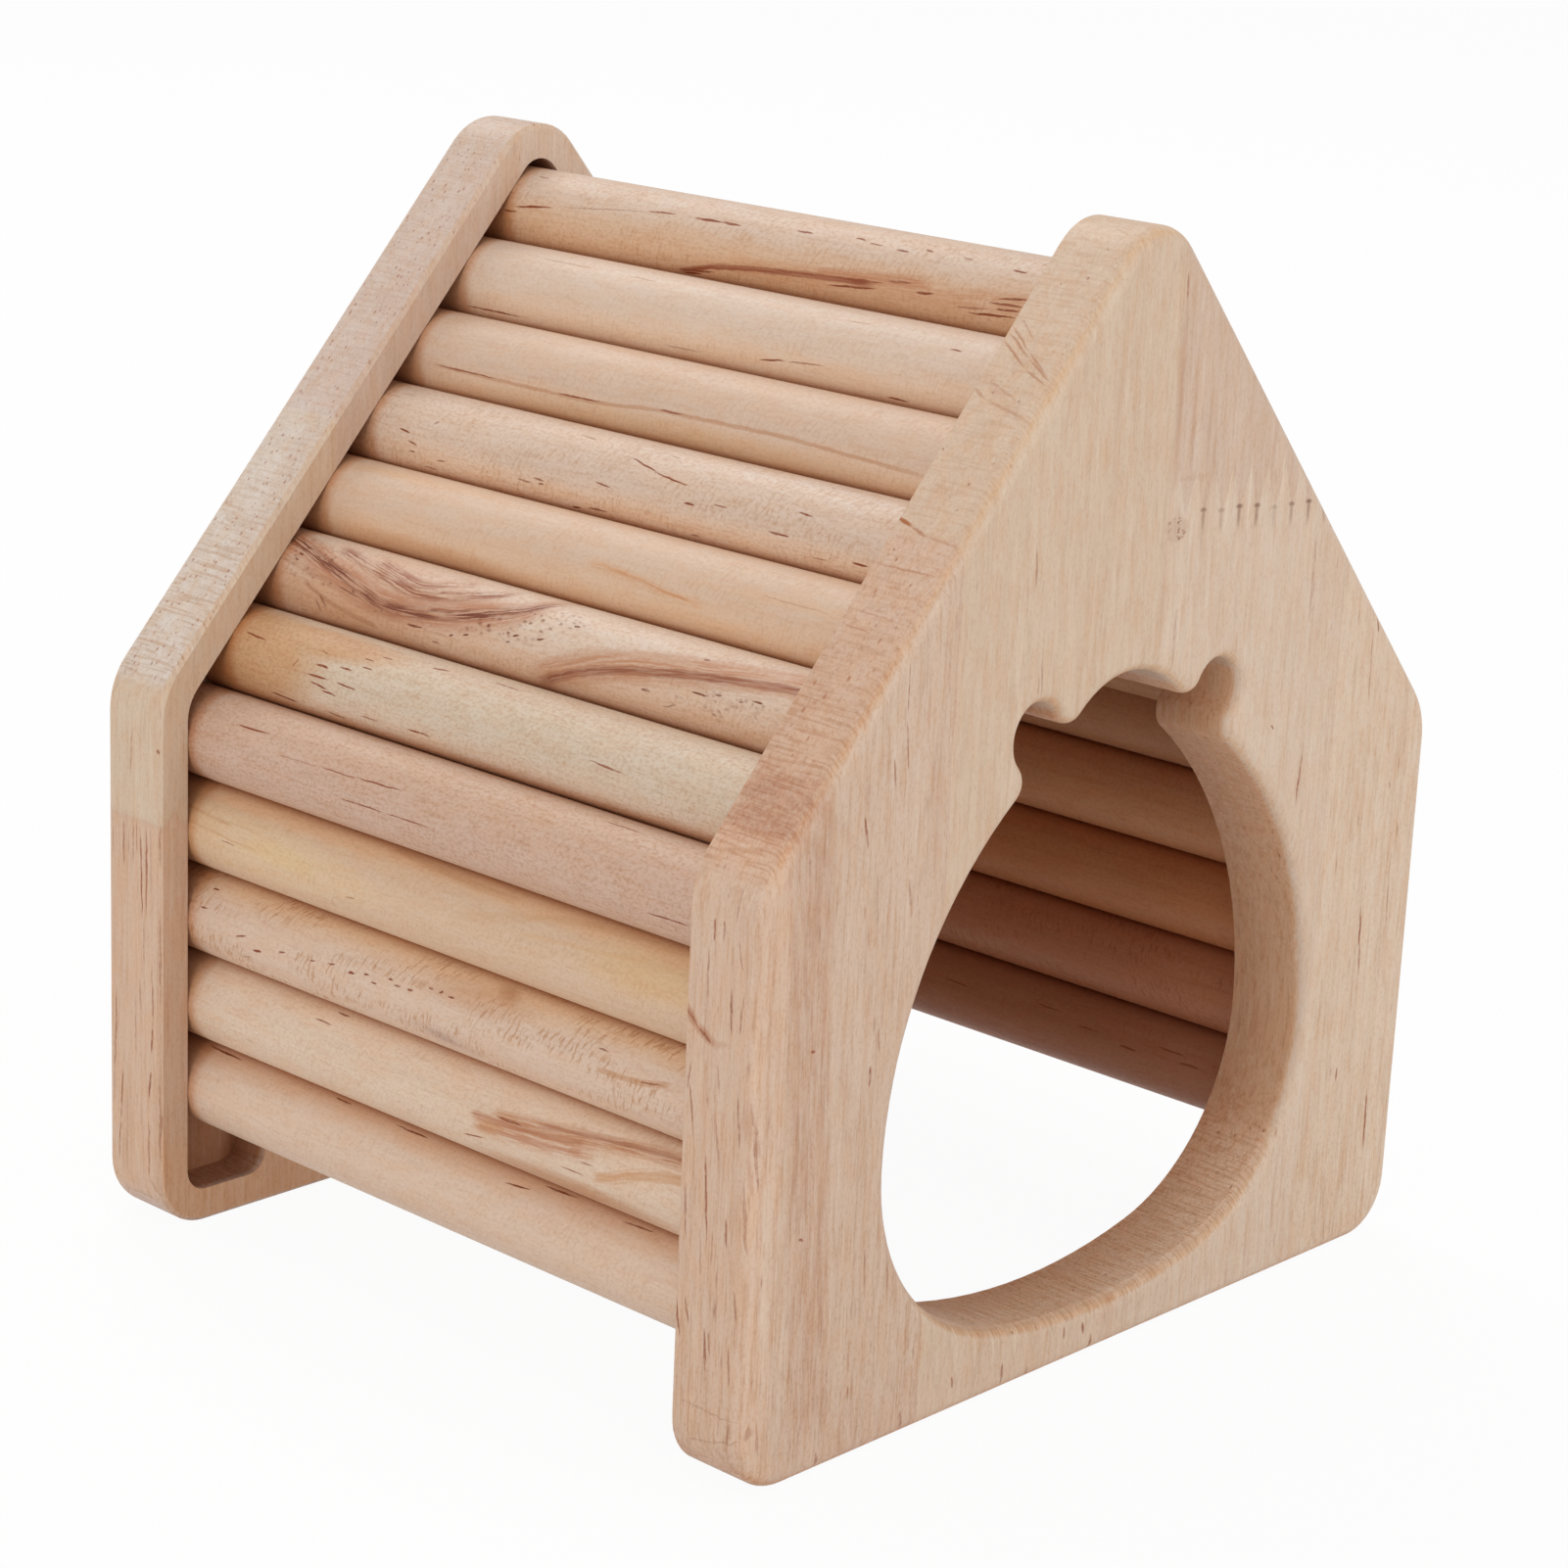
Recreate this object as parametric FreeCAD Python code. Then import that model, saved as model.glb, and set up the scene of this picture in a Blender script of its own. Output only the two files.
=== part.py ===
"""Small-animal wooden house, without a floor.

Two gabled end plates stand upright on the ground.  Each has a channel routed
into its inner face, parallel to its edge.  Round rods lie side by side in the
two channels and make both walls and both roof slopes.  The front plate has a
door with two small round ears cut through it.

Frame: X across the house, Y from the front plate to the back plate, Z up.
The origin is on the ground under the middle of the house.  Millimetres.
"""
import FreeCAD, Part
import math
import os
from FreeCAD import Vector

# ---- driving dimensions ----

# the house
plate_width = 129.0
eave_height = 74.1          # where the side edge and the roof edge would meet
roof_pitch = 48.7           # degrees from level
wall_span = 95.2            # between the two plates, the length of rod that shows

# the end plates
plate_thickness = 11.6
foot_radius = 7.8
eave_radius = 11.0
peak_radius = 8.2
edge_round = 2.0            # rim of the outer face
edge_ease = 0.6             # rim of the inner face, sanded

# the rods
rod_diameter = 11.9
rod_gap = 0.1               # between one rod and the next
lowest_rod_clearance = 10.0  # no rod comes nearer to the ground than this

# the channel that holds the rods
rim = 4.6                   # wood left outside the channel
channel_depth = 6.5
channel_slack = 1.5         # channel width over rod diameter
channel_corner = 3.0        # left by the router bit
seat_gap = 0.1              # rod to the outer wall of the channel
glue_gap = 0.05             # rod end to the floor of the channel

# the door, from the ground up
door_land = 5.4             # wood left between the door and the channel
door_sill = 6.7             # wood left under the door
sill_radius = 86.0
cheek_radius = 27.0
flank_radius = 52.0
neck_radius = 3.0           # between flank and ear
ear_spread = 17.4           # middle of the door to the middle of an ear
ear_radius = 4.2
ear_stand_off = 4.3         # middle of an ear beyond the flank
notch_radius = 2.5          # between ear and crown
crown_radius = 14.0
crown_rise = 5.2            # top of the door above the middles of the ears
door_round = 1.8            # front edge of the door

# ---- sizes that follow ----

house_depth = wall_span + 2 * plate_thickness
rod_radius = rod_diameter / 2
rod_pitch = rod_diameter + rod_gap
rod_length = wall_span + 2 * (channel_depth - glue_gap)
rod_inset = rim + seat_gap + rod_radius
channel_width = rod_diameter + channel_slack
pitch = math.radians(roof_pitch)


# ---- plane outlines, in the XZ plane ----

def gable(inset):
    """Half width, eave height and peak height of the outline moved inward by inset."""
    half = plate_width / 2 - inset
    peak = eave_height + plate_width / 2 * math.tan(pitch) - inset / math.cos(pitch)
    return half, peak - half * math.tan(pitch), peak


def rounded_face(corners):
    """Face of a polygon given as (x, z, radius) corners, each rounded by its radius."""
    count = len(corners)
    points = [Vector(x, 0, z) for x, z, radius in corners]
    edges = []
    ends = []
    for i in range(count):
        before = (points[i - 1] - points[i]).normalize()
        after = (points[(i + 1) % count] - points[i]).normalize()
        radius = corners[i][2]
        half_angle = before.getAngle(after) / 2
        reach = radius / math.tan(half_angle)
        middle = (before + after).normalize() * (radius / math.sin(half_angle) - radius)
        start = points[i] + before * reach
        end = points[i] + after * reach
        edges.append(Part.Arc(start, points[i] + middle, end).toShape())
        ends.append((start, end))
    for i in range(count):
        edges.append(Part.makeLine(ends[i - 1][1], ends[i][0]))
    return Part.Face(Part.Wire(Part.__sortEdges__(edges)))


def plate_face():
    half, eave, peak = gable(0)
    return rounded_face([
        (-half, 0, foot_radius),
        (-half, eave, eave_radius),
        (0, peak, peak_radius),
        (half, eave, eave_radius),
        (half, 0, foot_radius),
    ])


def channel_face():
    """Upside-down U: its outer wall is parallel to the edge of the plate."""
    half, eave, peak = gable(rim)
    half_in, eave_in, peak_in = gable(rim + channel_width)
    return rounded_face([
        (-half, rim, foot_radius - rim),
        (-half, eave, eave_radius - rim),
        (0, peak, peak_radius - rim),
        (half, eave, eave_radius - rim),
        (half, rim, foot_radius - rim),
        (half_in, rim, channel_corner),
        (half_in, eave_in, channel_corner),
        (0, peak_in, channel_corner),
        (-half_in, eave_in, channel_corner),
        (-half_in, rim, channel_corner),
    ])


def touching_circle(centre_a, radius_a, centre_b, radius_b, radius):
    """Centre of the circle that touches circles a and b from outside, on the left
    of the way from a to b."""
    way = centre_b - centre_a
    apart = way.Length
    reach_a = radius_a + radius
    reach_b = radius_b + radius
    along = (apart ** 2 + reach_a ** 2 - reach_b ** 2) / (2 * apart)
    aside = math.sqrt(reach_a ** 2 - along ** 2)
    way.normalize()
    left = Vector(-way.z, 0, way.x)
    return centre_a + way * along + left * aside


def toward(centre, radius, other):
    """Point of a circle on the way to another centre."""
    return centre + (other - centre).normalize() * radius


def arc(centre, radius, start, end):
    """Arc of a circle from start to end, turning from X towards Z."""
    first = math.atan2(start.z - centre.z, start.x - centre.x)
    last = math.atan2(end.z - centre.z, end.x - centre.x)
    if last < first:
        last += 2 * math.pi
    turn = (first + last) / 2
    middle = centre + Vector(math.cos(turn), 0, math.sin(turn)) * radius
    return Part.Arc(start, middle, end).toShape()


def door_face():
    """Door outline of tangent arcs: sill, cheeks, flanks, necks, ears and crown."""
    half = gable(rim + channel_width)[0] - door_land
    sill = Vector(0, 0, door_sill + sill_radius)
    cheek_x = half - cheek_radius
    cheek_drop = math.sqrt((sill_radius - cheek_radius) ** 2 - cheek_x ** 2)
    cheek = Vector(cheek_x, 0, sill.z - cheek_drop)
    flank = Vector(half - flank_radius, 0, cheek.z)
    ear_reach = flank_radius + ear_stand_off
    ear_rise = math.sqrt(ear_reach ** 2 - (ear_spread - flank.x) ** 2)
    ear = Vector(ear_spread, 0, flank.z + ear_rise)
    crown = Vector(0, 0, ear.z + crown_rise - crown_radius)
    neck = touching_circle(ear, ear_radius, flank, flank_radius, neck_radius)
    notch = touching_circle(crown, crown_radius, ear, ear_radius, notch_radius)

    sill_end = toward(sill, sill_radius, cheek)
    widest = Vector(half, 0, cheek.z)
    flank_end = toward(flank, flank_radius, neck)
    neck_end = toward(ear, ear_radius, neck)
    ear_end = toward(ear, ear_radius, notch)
    crown_start = toward(crown, crown_radius, notch)
    side = [
        arc(cheek, cheek_radius, sill_end, widest),
        arc(flank, flank_radius, widest, flank_end),
        arc(neck, neck_radius, neck_end, flank_end),
        arc(ear, ear_radius, neck_end, ear_end),
        arc(notch, notch_radius, crown_start, ear_end),
    ]
    other_side = [edge.mirror(Vector(0, 0, 0), Vector(1, 0, 0)) for edge in side]
    bottom = arc(sill, sill_radius, Vector(-sill_end.x, 0, sill_end.z), sill_end)
    top = arc(crown, crown_radius, crown_start, Vector(-crown_start.x, 0, crown_start.z))
    return Part.Face(Part.Wire(Part.__sortEdges__(side + other_side + [bottom, top])))


# ---- the pieces ----

def edges_at(solid, y, margin=None):
    """Edges that lie in the plane at y, and within the door's box if one is given."""
    found = []
    for edge in solid.Edges:
        box = edge.BoundBox
        in_plane = abs(box.YMin - y) < 1e-4 and abs(box.YMax - y) < 1e-4
        if in_plane and (margin is None or margin.isInside(box)):
            found.append(edge)
    return found


def end_plate(with_door):
    """Plate with its outer face at Y = 0 and its inner face towards +Y."""
    inward = Vector(0, plate_thickness, 0)
    plate = plate_face().extrude(inward)
    plate = plate.makeFillet(edge_round, edges_at(plate, 0))
    plate = plate.makeChamfer(edge_ease, edges_at(plate, plate_thickness))
    channel = channel_face().extrude(Vector(0, channel_depth, 0))
    channel.translate(Vector(0, plate_thickness - channel_depth, 0))
    plate = plate.cut(channel)
    if with_door:
        door = door_face().extrude(inward)
        plate = plate.cut(door)
        door_box = door.BoundBox
        door_box.enlarge(0.01)
        plate = plate.makeFillet(door_round, edges_at(plate, 0, door_box))
    return plate


def rod_places():
    """Name and centre of each rod, from the ridge round both eaves to the ground."""
    half, eave, peak = gable(rod_inset)
    run = rod_pitch * math.cos(pitch)
    drop = rod_pitch * math.sin(pitch)
    x = 0.0
    z = peak
    down = []
    while x + run <= half:
        x += run
        z -= drop
        down.append(("roof", x, z))
    # round the eave: the next rod touches the last one and the side wall
    z -= math.sqrt(rod_pitch ** 2 - (half - x) ** 2)
    down.append(("eave", half, z))
    while z - rod_pitch - rod_radius >= lowest_rod_clearance:
        z -= rod_pitch
        down.append(("wall", half, z))
    places = [("ridge_rod", 0.0, peak)]
    for side, sign in (("left", -1), ("right", 1)):
        number = {"roof": 0, "eave": 0, "wall": 0}
        for kind, x, z in down:
            number[kind] += 1
            ending = "" if kind == "eave" else f"_{number[kind]}"
            places.append((f"{side}_{kind}_rod{ending}", sign * x, z))
    return places


def rod(x, z):
    start = Vector(x, -rod_length / 2, z)
    return Part.makeCylinder(rod_radius, rod_length, start, Vector(0, 1, 0))


def build():
    front = end_plate(with_door=True)
    front.translate(Vector(0, -house_depth / 2, 0))
    back = end_plate(with_door=False)
    back.rotate(Vector(0, 0, 0), Vector(0, 0, 1), 180)
    back.translate(Vector(0, house_depth / 2, 0))
    pieces = {"front_plate": front, "back_plate": back}
    for name, x, z in rod_places():
        pieces[name] = rod(x, z)
    return pieces


os.makedirs("parts", exist_ok=True)
for node, shape in build().items():
    shape.exportStep(f"parts/{node}.step")
    print(node, "valid" if shape.isValid() else "NOT VALID", len(shape.Solids), round(shape.Volume))
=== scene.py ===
"""Wooden hideout for a hamster: two gabled end plates joined by 23 round rods, with no floor."""
import math

import bpy
from mathutils import Matrix, Vector


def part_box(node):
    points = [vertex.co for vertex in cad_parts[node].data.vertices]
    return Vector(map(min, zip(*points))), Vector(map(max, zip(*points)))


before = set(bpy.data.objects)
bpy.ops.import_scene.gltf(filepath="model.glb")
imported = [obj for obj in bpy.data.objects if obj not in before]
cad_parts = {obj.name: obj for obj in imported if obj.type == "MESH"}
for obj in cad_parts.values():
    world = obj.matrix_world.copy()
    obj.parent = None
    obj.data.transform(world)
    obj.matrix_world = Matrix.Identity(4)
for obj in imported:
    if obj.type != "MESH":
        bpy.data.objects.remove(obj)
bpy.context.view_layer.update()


# ---- Front plate ----
# Rubberwood staves glued side by side and finger-jointed end to end, planed to one board.
# A router cut the outline, the channel and the door, and the edges were sanded by hand.

plate_left, plate_front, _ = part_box("front_plate")[0] * 1000


def tone(red, green, blue):
    """A wood tone as 0-255 screen values, made linear."""
    def linear(value):
        value /= 255
        return value / 12.92 if value < 0.04045 else ((value + 0.055) / 1.055) ** 2.4
    return linear(red), linear(green), linear(blue), 1


class Value:
    """What a node puts out.  A sum written with it adds a math node to the same tree."""

    def __init__(self, socket):
        self.socket = socket
        self.tree = socket.id_data

    def __add__(self, other):
        return calc("ADD", self, other)

    def __sub__(self, other):
        return calc("SUBTRACT", self, other)

    def __rsub__(self, other):
        return calc("SUBTRACT", other, self)

    def __mul__(self, other):
        return calc("MULTIPLY", self, other)

    def __truediv__(self, other):
        return calc("DIVIDE", self, other)

    def __lt__(self, other):
        return calc("LESS_THAN", self, other)

    def __gt__(self, other):
        return calc("GREATER_THAN", self, other)

    def __neg__(self):
        return calc("MULTIPLY", self, -1.0)

    def __abs__(self):
        return calc("ABSOLUTE", self)

    __radd__ = __add__
    __rmul__ = __mul__


def tree_of(values):
    """The node tree that these come from; plain numbers among them are passed over."""
    return next(value.tree for value in values if isinstance(value, Value))


def fill(socket, value):
    if isinstance(value, Value):
        value.tree.links.new(value.socket, socket)
    else:
        socket.default_value = value


def add(tree, kind, inputs=None, **settings):
    """A new shader node with its settings made and its named inputs filled or joined."""
    node = tree.nodes.new("ShaderNode" + kind)
    for name, value in settings.items():
        setattr(node, name, value)
    for name, value in (inputs or {}).items():
        fill(node.inputs[name], value)
    return node


def out(node, name=0):
    return Value(node.outputs[name])


def calc(operation, *values):
    node = add(tree_of(values), "Math", operation=operation)
    for socket, value in zip(node.inputs, values):
        fill(socket, value)
    return out(node)


def most(first, second):
    return calc("MAXIMUM", first, second)


def least(first, second):
    return calc("MINIMUM", first, second)


def clamped(value):
    """Keeps the outcome of the last sum between 0 and 1."""
    value.socket.node.use_clamp = True
    return value


def vector_calc(operation, *values, output="Vector"):
    node = add(tree_of(values), "VectorMath", operation=operation)
    for socket, value in zip(node.inputs, values):
        fill(socket, value)
    return out(node, output)


def scaled(place, factors):
    return vector_calc("MULTIPLY", place, factors)


def dot(first, second):
    return vector_calc("DOT_PRODUCT", first, second, output="Value")


def split(vector):
    node = add(vector.tree, "SeparateXYZ", {"Vector": vector})
    return [out(node, axis) for axis in "XYZ"]


def join(x, y, z):
    return out(add(tree_of((x, y, z)), "CombineXYZ", {"X": x, "Y": y, "Z": z}))


def fade(value, start, end):
    """0 at start, 1 at end, smooth between them."""
    return out(add(value.tree, "MapRange", {
        "Value": value, "From Min": start, "From Max": end,
    }, interpolation_type="SMOOTHSTEP"))


def blend(factor, first, second, way="MIX"):
    node = add(tree_of((factor, first, second)), "Mix", data_type="RGBA", blend_type=way,
               clamp_factor=True)
    for i, value in ((0, factor), (6, first), (7, second)):
        fill(node.inputs[i], value)
    return out(node, 2)


def noise(place, detail, scale=1.0, roughness=0.5, output="Fac"):
    return out(add(place.tree, "TexNoise", {
        "Vector": place, "Scale": scale, "Detail": detail, "Roughness": roughness,
    }), output)


def swaying(place, flow, scale=1.0):
    """A slow wander in three directions, about zero.  Flow draws it out along an axis."""
    drift = noise(scaled(place, (1.0, 1.0, flow)), 2.0, scale, output="Color")
    return vector_calc("SUBTRACT", drift, (0.5, 0.5, 0.5))


def cells(place, size):
    """Random cells: how far the nearest cell's middle is, and three random numbers of it."""
    node = add(place.tree, "TexVoronoi", {
        "Vector": vector_calc("DIVIDE", place, size), "Scale": 1.0,
    })
    return out(node, "Distance"), split(out(node, "Color"))


def new_group(name, inputs, outputs):
    """An empty shader node group, its inputs by name and its output sockets."""
    group = bpy.data.node_groups.new(name, "ShaderNodeTree")
    for socket, value in inputs.items():
        kind = "NodeSocketVector" if isinstance(value, tuple) else "NodeSocketFloat"
        made = group.interface.new_socket(socket, in_out="INPUT", socket_type=kind)
        made.default_value = value
    for socket in outputs:
        group.interface.new_socket(socket, in_out="OUTPUT", socket_type="NodeSocketFloat")
    start = {socket.name: Value(socket) for socket in group.nodes.new("NodeGroupInput").outputs}
    return group, start, group.nodes.new("NodeGroupOutput").inputs


def use(group, inputs):
    """A group's outputs by name, with its inputs filled or joined."""
    node = tree_of(inputs.values()).nodes.new("ShaderNodeGroup")
    node.node_tree = group
    for name, value in inputs.items():
        fill(node.inputs[name], value)
    return {socket.name: Value(socket) for socket in node.outputs}


def make_pores():
    """Short brown vessel lines along the grain, which is Z, from cells drawn out along it."""
    group, start, end = new_group("wood_pores", {
        "Place": (0.0, 0.0, 0.0), "Across": 1.5, "Along": 20.0, "Share": 0.3, "Width": 0.12,
    }, ["Mask"])
    size = join(start["Across"], start["Across"], start["Along"])
    distance, kept = cells(start["Place"], size)
    width = start["Width"] * (kept[1] + 0.35)
    near = clamped(1.0 - distance * start["Across"] / width)
    depth = (kept[0] < start["Share"]) * (0.3 + kept[2])
    fill(end["Mask"], clamped(near * depth))
    return group


def make_fibre():
    """Fine light and dark lines along the grain, 0 to 1."""
    group, start, end = new_group("wood_fibre", {
        "Place": (0.0, 0.0, 0.0), "Across": 1.0, "Along": 20.0,
    }, ["Value"])
    size = join(start["Across"], start["Across"], start["Along"])
    fill(end["Value"], noise(vector_calc("DIVIDE", start["Place"], size), 3.0, roughness=0.6))
    return group


def make_mark():
    """One drawn-out oval mark, such as a single large pore or a stain, with soft ends.

    Flat and Shift give the way from the mark's middle to a point, and Axis is its long axis.
    """
    group, start, end = new_group("grain_mark", {
        "Place": (0.0, 0.0, 0.0), "Flat": (1.0, 1.0, 1.0), "Shift": (0.0, 0.0, 0.0),
        "Axis": (0.0, 0.0, 1.0), "Thin": 1.0, "Depth": 1.0, "Edge": 0.5, "Before": 0.0,
    }, ["Mask"])
    way = vector_calc("MULTIPLY_ADD", start["Place"], start["Flat"], start["Shift"])
    along = dot(way, start["Axis"])
    inside = along * along + 1.0 - start["Thin"] * dot(way, way)
    mask = clamped(inside / start["Edge"]) * start["Depth"]
    fill(end["Mask"], most(mask, start["Before"]))
    return group


def make_fingers():
    """Finger joint: which side of the zigzag a point is on, its glue line and its tip gaps."""
    group, start, end = new_group("finger_joint", {
        "Across": 0.0, "Height": 0.0, "Level": 0.0, "Reach": 3.4, "Pitch": 3.64, "Start": 0.0,
    }, ["Above", "Line", "Tip"])
    count = (start["Across"] - start["Start"]) / start["Pitch"]
    swing = calc("PINGPONG", count, 0.5)
    zigzag = (swing - 0.25) * (start["Reach"] * 4.0) + start["Level"]
    above = start["Height"] - zigzag
    fill(end["Above"], fade(above, -0.25, 0.25))
    fill(end["Line"], clamped(1.0 - abs(above)))
    # the open ends of the fingers: a small dark gap with a fainter tail below it
    side = swing * start["Pitch"]
    side = side * side
    each = out(add(group, "TexWhiteNoise", {"W": calc("ROUND", count)}, noise_dimensions="1D"),
               "Value")
    low = each * 0.5 + start["Level"] - start["Reach"] - start["Height"]
    gap = clamped(1.0 - (side * 1.6 + low * low * 6.0))
    tail = clamped(1.0 - side * 5.0) * fade(low, -0.1, 0.3) * fade(low, 3.4, 1.4)
    fill(end["Tip"], (each * 0.6 + 0.4) * most(gap, tail * 0.6))
    return group


def make_end_grain():
    """Cross-cut wood: where the surface cuts across the upright grain, and its open pores."""
    group, start, end = new_group("end_grain", {
        "Place": (0.0, 0.0, 0.0), "Normal": (0.0, 0.0, 1.0), "Size": 0.9, "Share": 0.6,
        "Width": 0.2,
    }, ["Cut", "Pores"])
    cut = fade(abs(split(start["Normal"])[2]), 0.3, 0.6)
    distance, kept = cells(scaled(start["Place"], (1.0, 1.0, 0.12)),
                           join(start["Size"], start["Size"], start["Size"]))
    far = distance * start["Size"] / (start["Width"] * (kept[1] + 0.5))
    pore = fade(far, 1.0, 0.4) * (kept[0] < start["Share"]) * (0.4 + kept[2])
    fill(end["Cut"], cut)
    fill(end["Pores"], clamped(pore * cut))
    return group


wood_pores = make_pores()
wood_fibre = make_fibre()
grain_mark = make_mark()
finger_joint = make_fingers()
end_grain = make_end_grain()


def pore_lines(place, across, along, share, width):
    return use(wood_pores, {
        "Place": place, "Across": across, "Along": along, "Share": share, "Width": width,
    })["Mask"]


def fibres(place, across, along):
    return use(wood_fibre, {"Place": place, "Across": across, "Along": along})["Value"]


def long_mark(start, end, width, depth, flat=(1, 1, 1)):
    """A mark between two points.  A small share in flat lets it reach in from the surface."""
    start, end, flat = Vector(start), Vector(end), Vector(flat)
    middle = (start + end) / 2
    half = (end - start).length / 2 + width
    steepness = math.sqrt(1 / width ** 2 - 1 / half ** 2)
    return {"Flat": flat, "Shift": -middle * flat, "Axis": (end - start).normalized() * steepness,
            "Thin": 1 / width ** 2, "Depth": depth}


def face_mark(x0, z0, x1, z1, width, depth):
    """A mark from one point to another on the front plate's outer face."""
    return long_mark((x0, plate_front, z0), (x1, plate_front, z1), width, depth, (1, 0.12, 1))


def side_mark(z0, y0, z1, y1, width, depth):
    """A mark from one point to another on a plate's left side."""
    return long_mark((plate_left, y0, z0), (plate_left, y1, z1), width, depth, (0.12, 1, 1))


def slope_mark(up0, y0, up1, y1, width, depth):
    """A mark on a plate's left roof edge, from one distance up it to another."""
    return long_mark((up0, y0, 0), (up1, y1, 0), width, depth, (1, 1, 0.12))


def marks_of(kind, rows):
    """Marks of one kind from a table, one row for each."""
    return [kind(*row) for row in rows]


def mark_chain(place, marks, edge=0.5):
    """Joins single marks into one mask."""
    mask = 0.0
    for mark in marks:
        mask = use(grain_mark, {**mark, "Place": place, "Edge": edge, "Before": mask})["Mask"]
    return mask


# the left roof edge of a plate: how steep it is, and how high it would meet the side edge
roof_pitch = math.radians(48.7)
eave_height = 74.1


def slope_place(place):
    """A point seen from a plate's left roof edge: how far up it, Y, and how far off it."""
    way = vector_calc("SUBTRACT", place, (plate_left, 0.0, eave_height))
    up = (math.cos(roof_pitch), 0.0, math.sin(roof_pitch))
    outward = (-math.sin(roof_pitch), 0.0, math.cos(roof_pitch))
    return join(dot(way, up), split(place)[1], dot(way, outward))


def stave_tones(x, staves, colours):
    """A ramp across the board that jumps from one stave's tone to the next."""
    reach = 70.0
    node = add(x.tree, "ValToRGB", {"Fac": (x + reach) / (2 * reach)})
    ramp = node.color_ramp
    ramp.interpolation = "CONSTANT"
    ramp.elements.remove(ramp.elements[1])
    ramp.elements[0].color = colours[0]
    for stop, colour in zip(staves, colours[1:]):
        ramp.elements.new((stop + reach) / (2 * reach)).color = colour
    return out(node)


def board_colour(spot, staves, tones, joints):
    """The staves' own tones, and the glue lines and gaps of the joints across them."""
    x, _, z = split(spot)
    above = line = tip = 0.0
    for first, last, level, reach, start, gap, lean in joints:
        joint = use(finger_joint, {
            "Across": x, "Height": x * lean + z, "Level": level, "Reach": reach, "Start": start,
        })
        here = (x > first) * (x < last)
        above = joint["Above"] * here + above
        line = joint["Line"] * here + line
        tip = joint["Tip"] * (here * (x > first + 5.0) * gap) + tip
    lower, upper = [stave_tones(x, staves, [tone(*pair[i]) for pair in tones]) for i in (0, 1)]
    return blend(above, lower, upper), line, tip


def seam_mask(x, staves):
    """Thin glue lines between the staves."""
    mask = 0.0
    for stop in staves:
        mask = most(mask, fade(abs(x - stop), 0.22, 0.05))
    return mask


def bare_wood(colour, height, grit, bump=0.25):
    """Bare sanded wood: the surface shader that every piece of the house has."""
    tree = colour.tree
    relief = add(tree, "Bump", {"Height": height, "Strength": bump, "Distance": 0.0002})
    surface = add(tree, "BsdfPrincipled", {
        "Base Color": colour, "Roughness": fade(grit, -1.2, 2.2), "Specular IOR Level": 0.3,
        "Normal": out(relief),
    })
    add(tree, "OutputMaterial", {"Surface": out(surface)})


def new_wood(name):
    """An empty material, and the surface point in millimetres."""
    material = bpy.data.materials.new(name)
    material.use_nodes = True
    material.node_tree.nodes.clear()
    place = out(add(material.node_tree, "TexCoord"), "Object")
    return material, scaled(place, (1000.0, 1000.0, 1000.0))


# how a deeper streak, a pinker patch and a redder patch change the wood round them
shade = (0.80, 0.66, 0.54, 1)
blush = (1.0, 0.89, 0.78, 1)
ruddy = (0.80, 0.62, 0.54, 1)
bleached = tone(234, 215, 194)


def streaked(colour, place, layers):
    """Fibres of several sizes: (across, along, start, end, strength) of each."""
    values = []
    for across, along, start, end, strength in layers:
        value = fibres(place, across, along)
        colour = blend(fade(value, start, end) * strength, colour, shade, "MULTIPLY")
        values.append(value)
    return colour, values


def end_tint(colour, up, cut, stops):
    """The tone that a sawn roof edge takes, by how far up it a point lies."""
    longest = 100.0
    node = add(up.tree, "ValToRGB", {"Fac": up / longest})
    ramp = node.color_ramp
    for i, (height, tint) in enumerate(stops):
        stop = ramp.elements[i] if i < 2 else ramp.elements.new(height / longest)
        stop.position = height / longest
        stop.color = (*tint, 1)
    return blend(cut, colour, out(node), "MULTIPLY")


def door_wall_light_and_shade(spot, facing):
    """The cut wall of the door, with painted shade that deepens and browns from the front to the
    back, and painted light from the floor on its low part.
    """
    x, y, z = split(spot)
    half_width, sill, top = 43.0, 4.5, 86.0
    wall = fade(facing, 0.55, 0.1) * (abs(x) < half_width)
    wall = wall * (fade(z, sill - 1.0, sill) * fade(z, top + 1.0, top))
    start, reach = plate_front + 1.5, 9.0
    depth = (y - start) / reach
    # painted shade, deeper and browner towards the back of the door
    tint = blend(depth, (1.08, 0.88, 0.71, 1), (0.85, 0.63, 0.50, 1))
    # painted light from the floor on the wall's low part
    painted_floor_light = blend(depth, (1.34, 1.38, 1.38, 1), (1.12, 0.98, 0.88, 1))
    return wall, blend(fade(z, 25.0, 15.0), tint, painted_floor_light)


def routed(colour, spot):
    """Painted shade in the routed channel, browner and darker, and painted warm light on the inner
    face below the lowest rods.
    """
    # the channel's walls from the plate's rim, and the inner face and the channel's floor from
    # the middle of the house, each a little off the solid's own
    outer_wall, inner_wall = 4.5, 18.3
    inner_face, channel_floor = 47.7, 54.4
    x, y, z = split(spot)
    inward = -abs(x)
    off_slope = split(slope_place(join(inward, y, z)))[2]
    rim = least(inward - plate_left, -off_slope)
    deep = abs(y)
    inside = fade(least(rim, z), outer_wall - 0.2, outer_wall) * (
        fade(deep, inner_face, inner_face + 1.3) * ((rim < inner_wall) * (deep < channel_floor)))
    # painted shade: browner and darker inside the channel
    colour = blend(inside, colour, (0.66, 0.46, 0.34, 1), "MULTIPLY")
    # painted warm light low on the inner face, below the lowest rods
    painted_foot_light = (deep < inner_face + 0.05) * fade(z, 18.0, 9.0)
    return blend(painted_foot_light, colour, scaled(colour, (1.06, 0.93, 0.80)))


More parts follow.
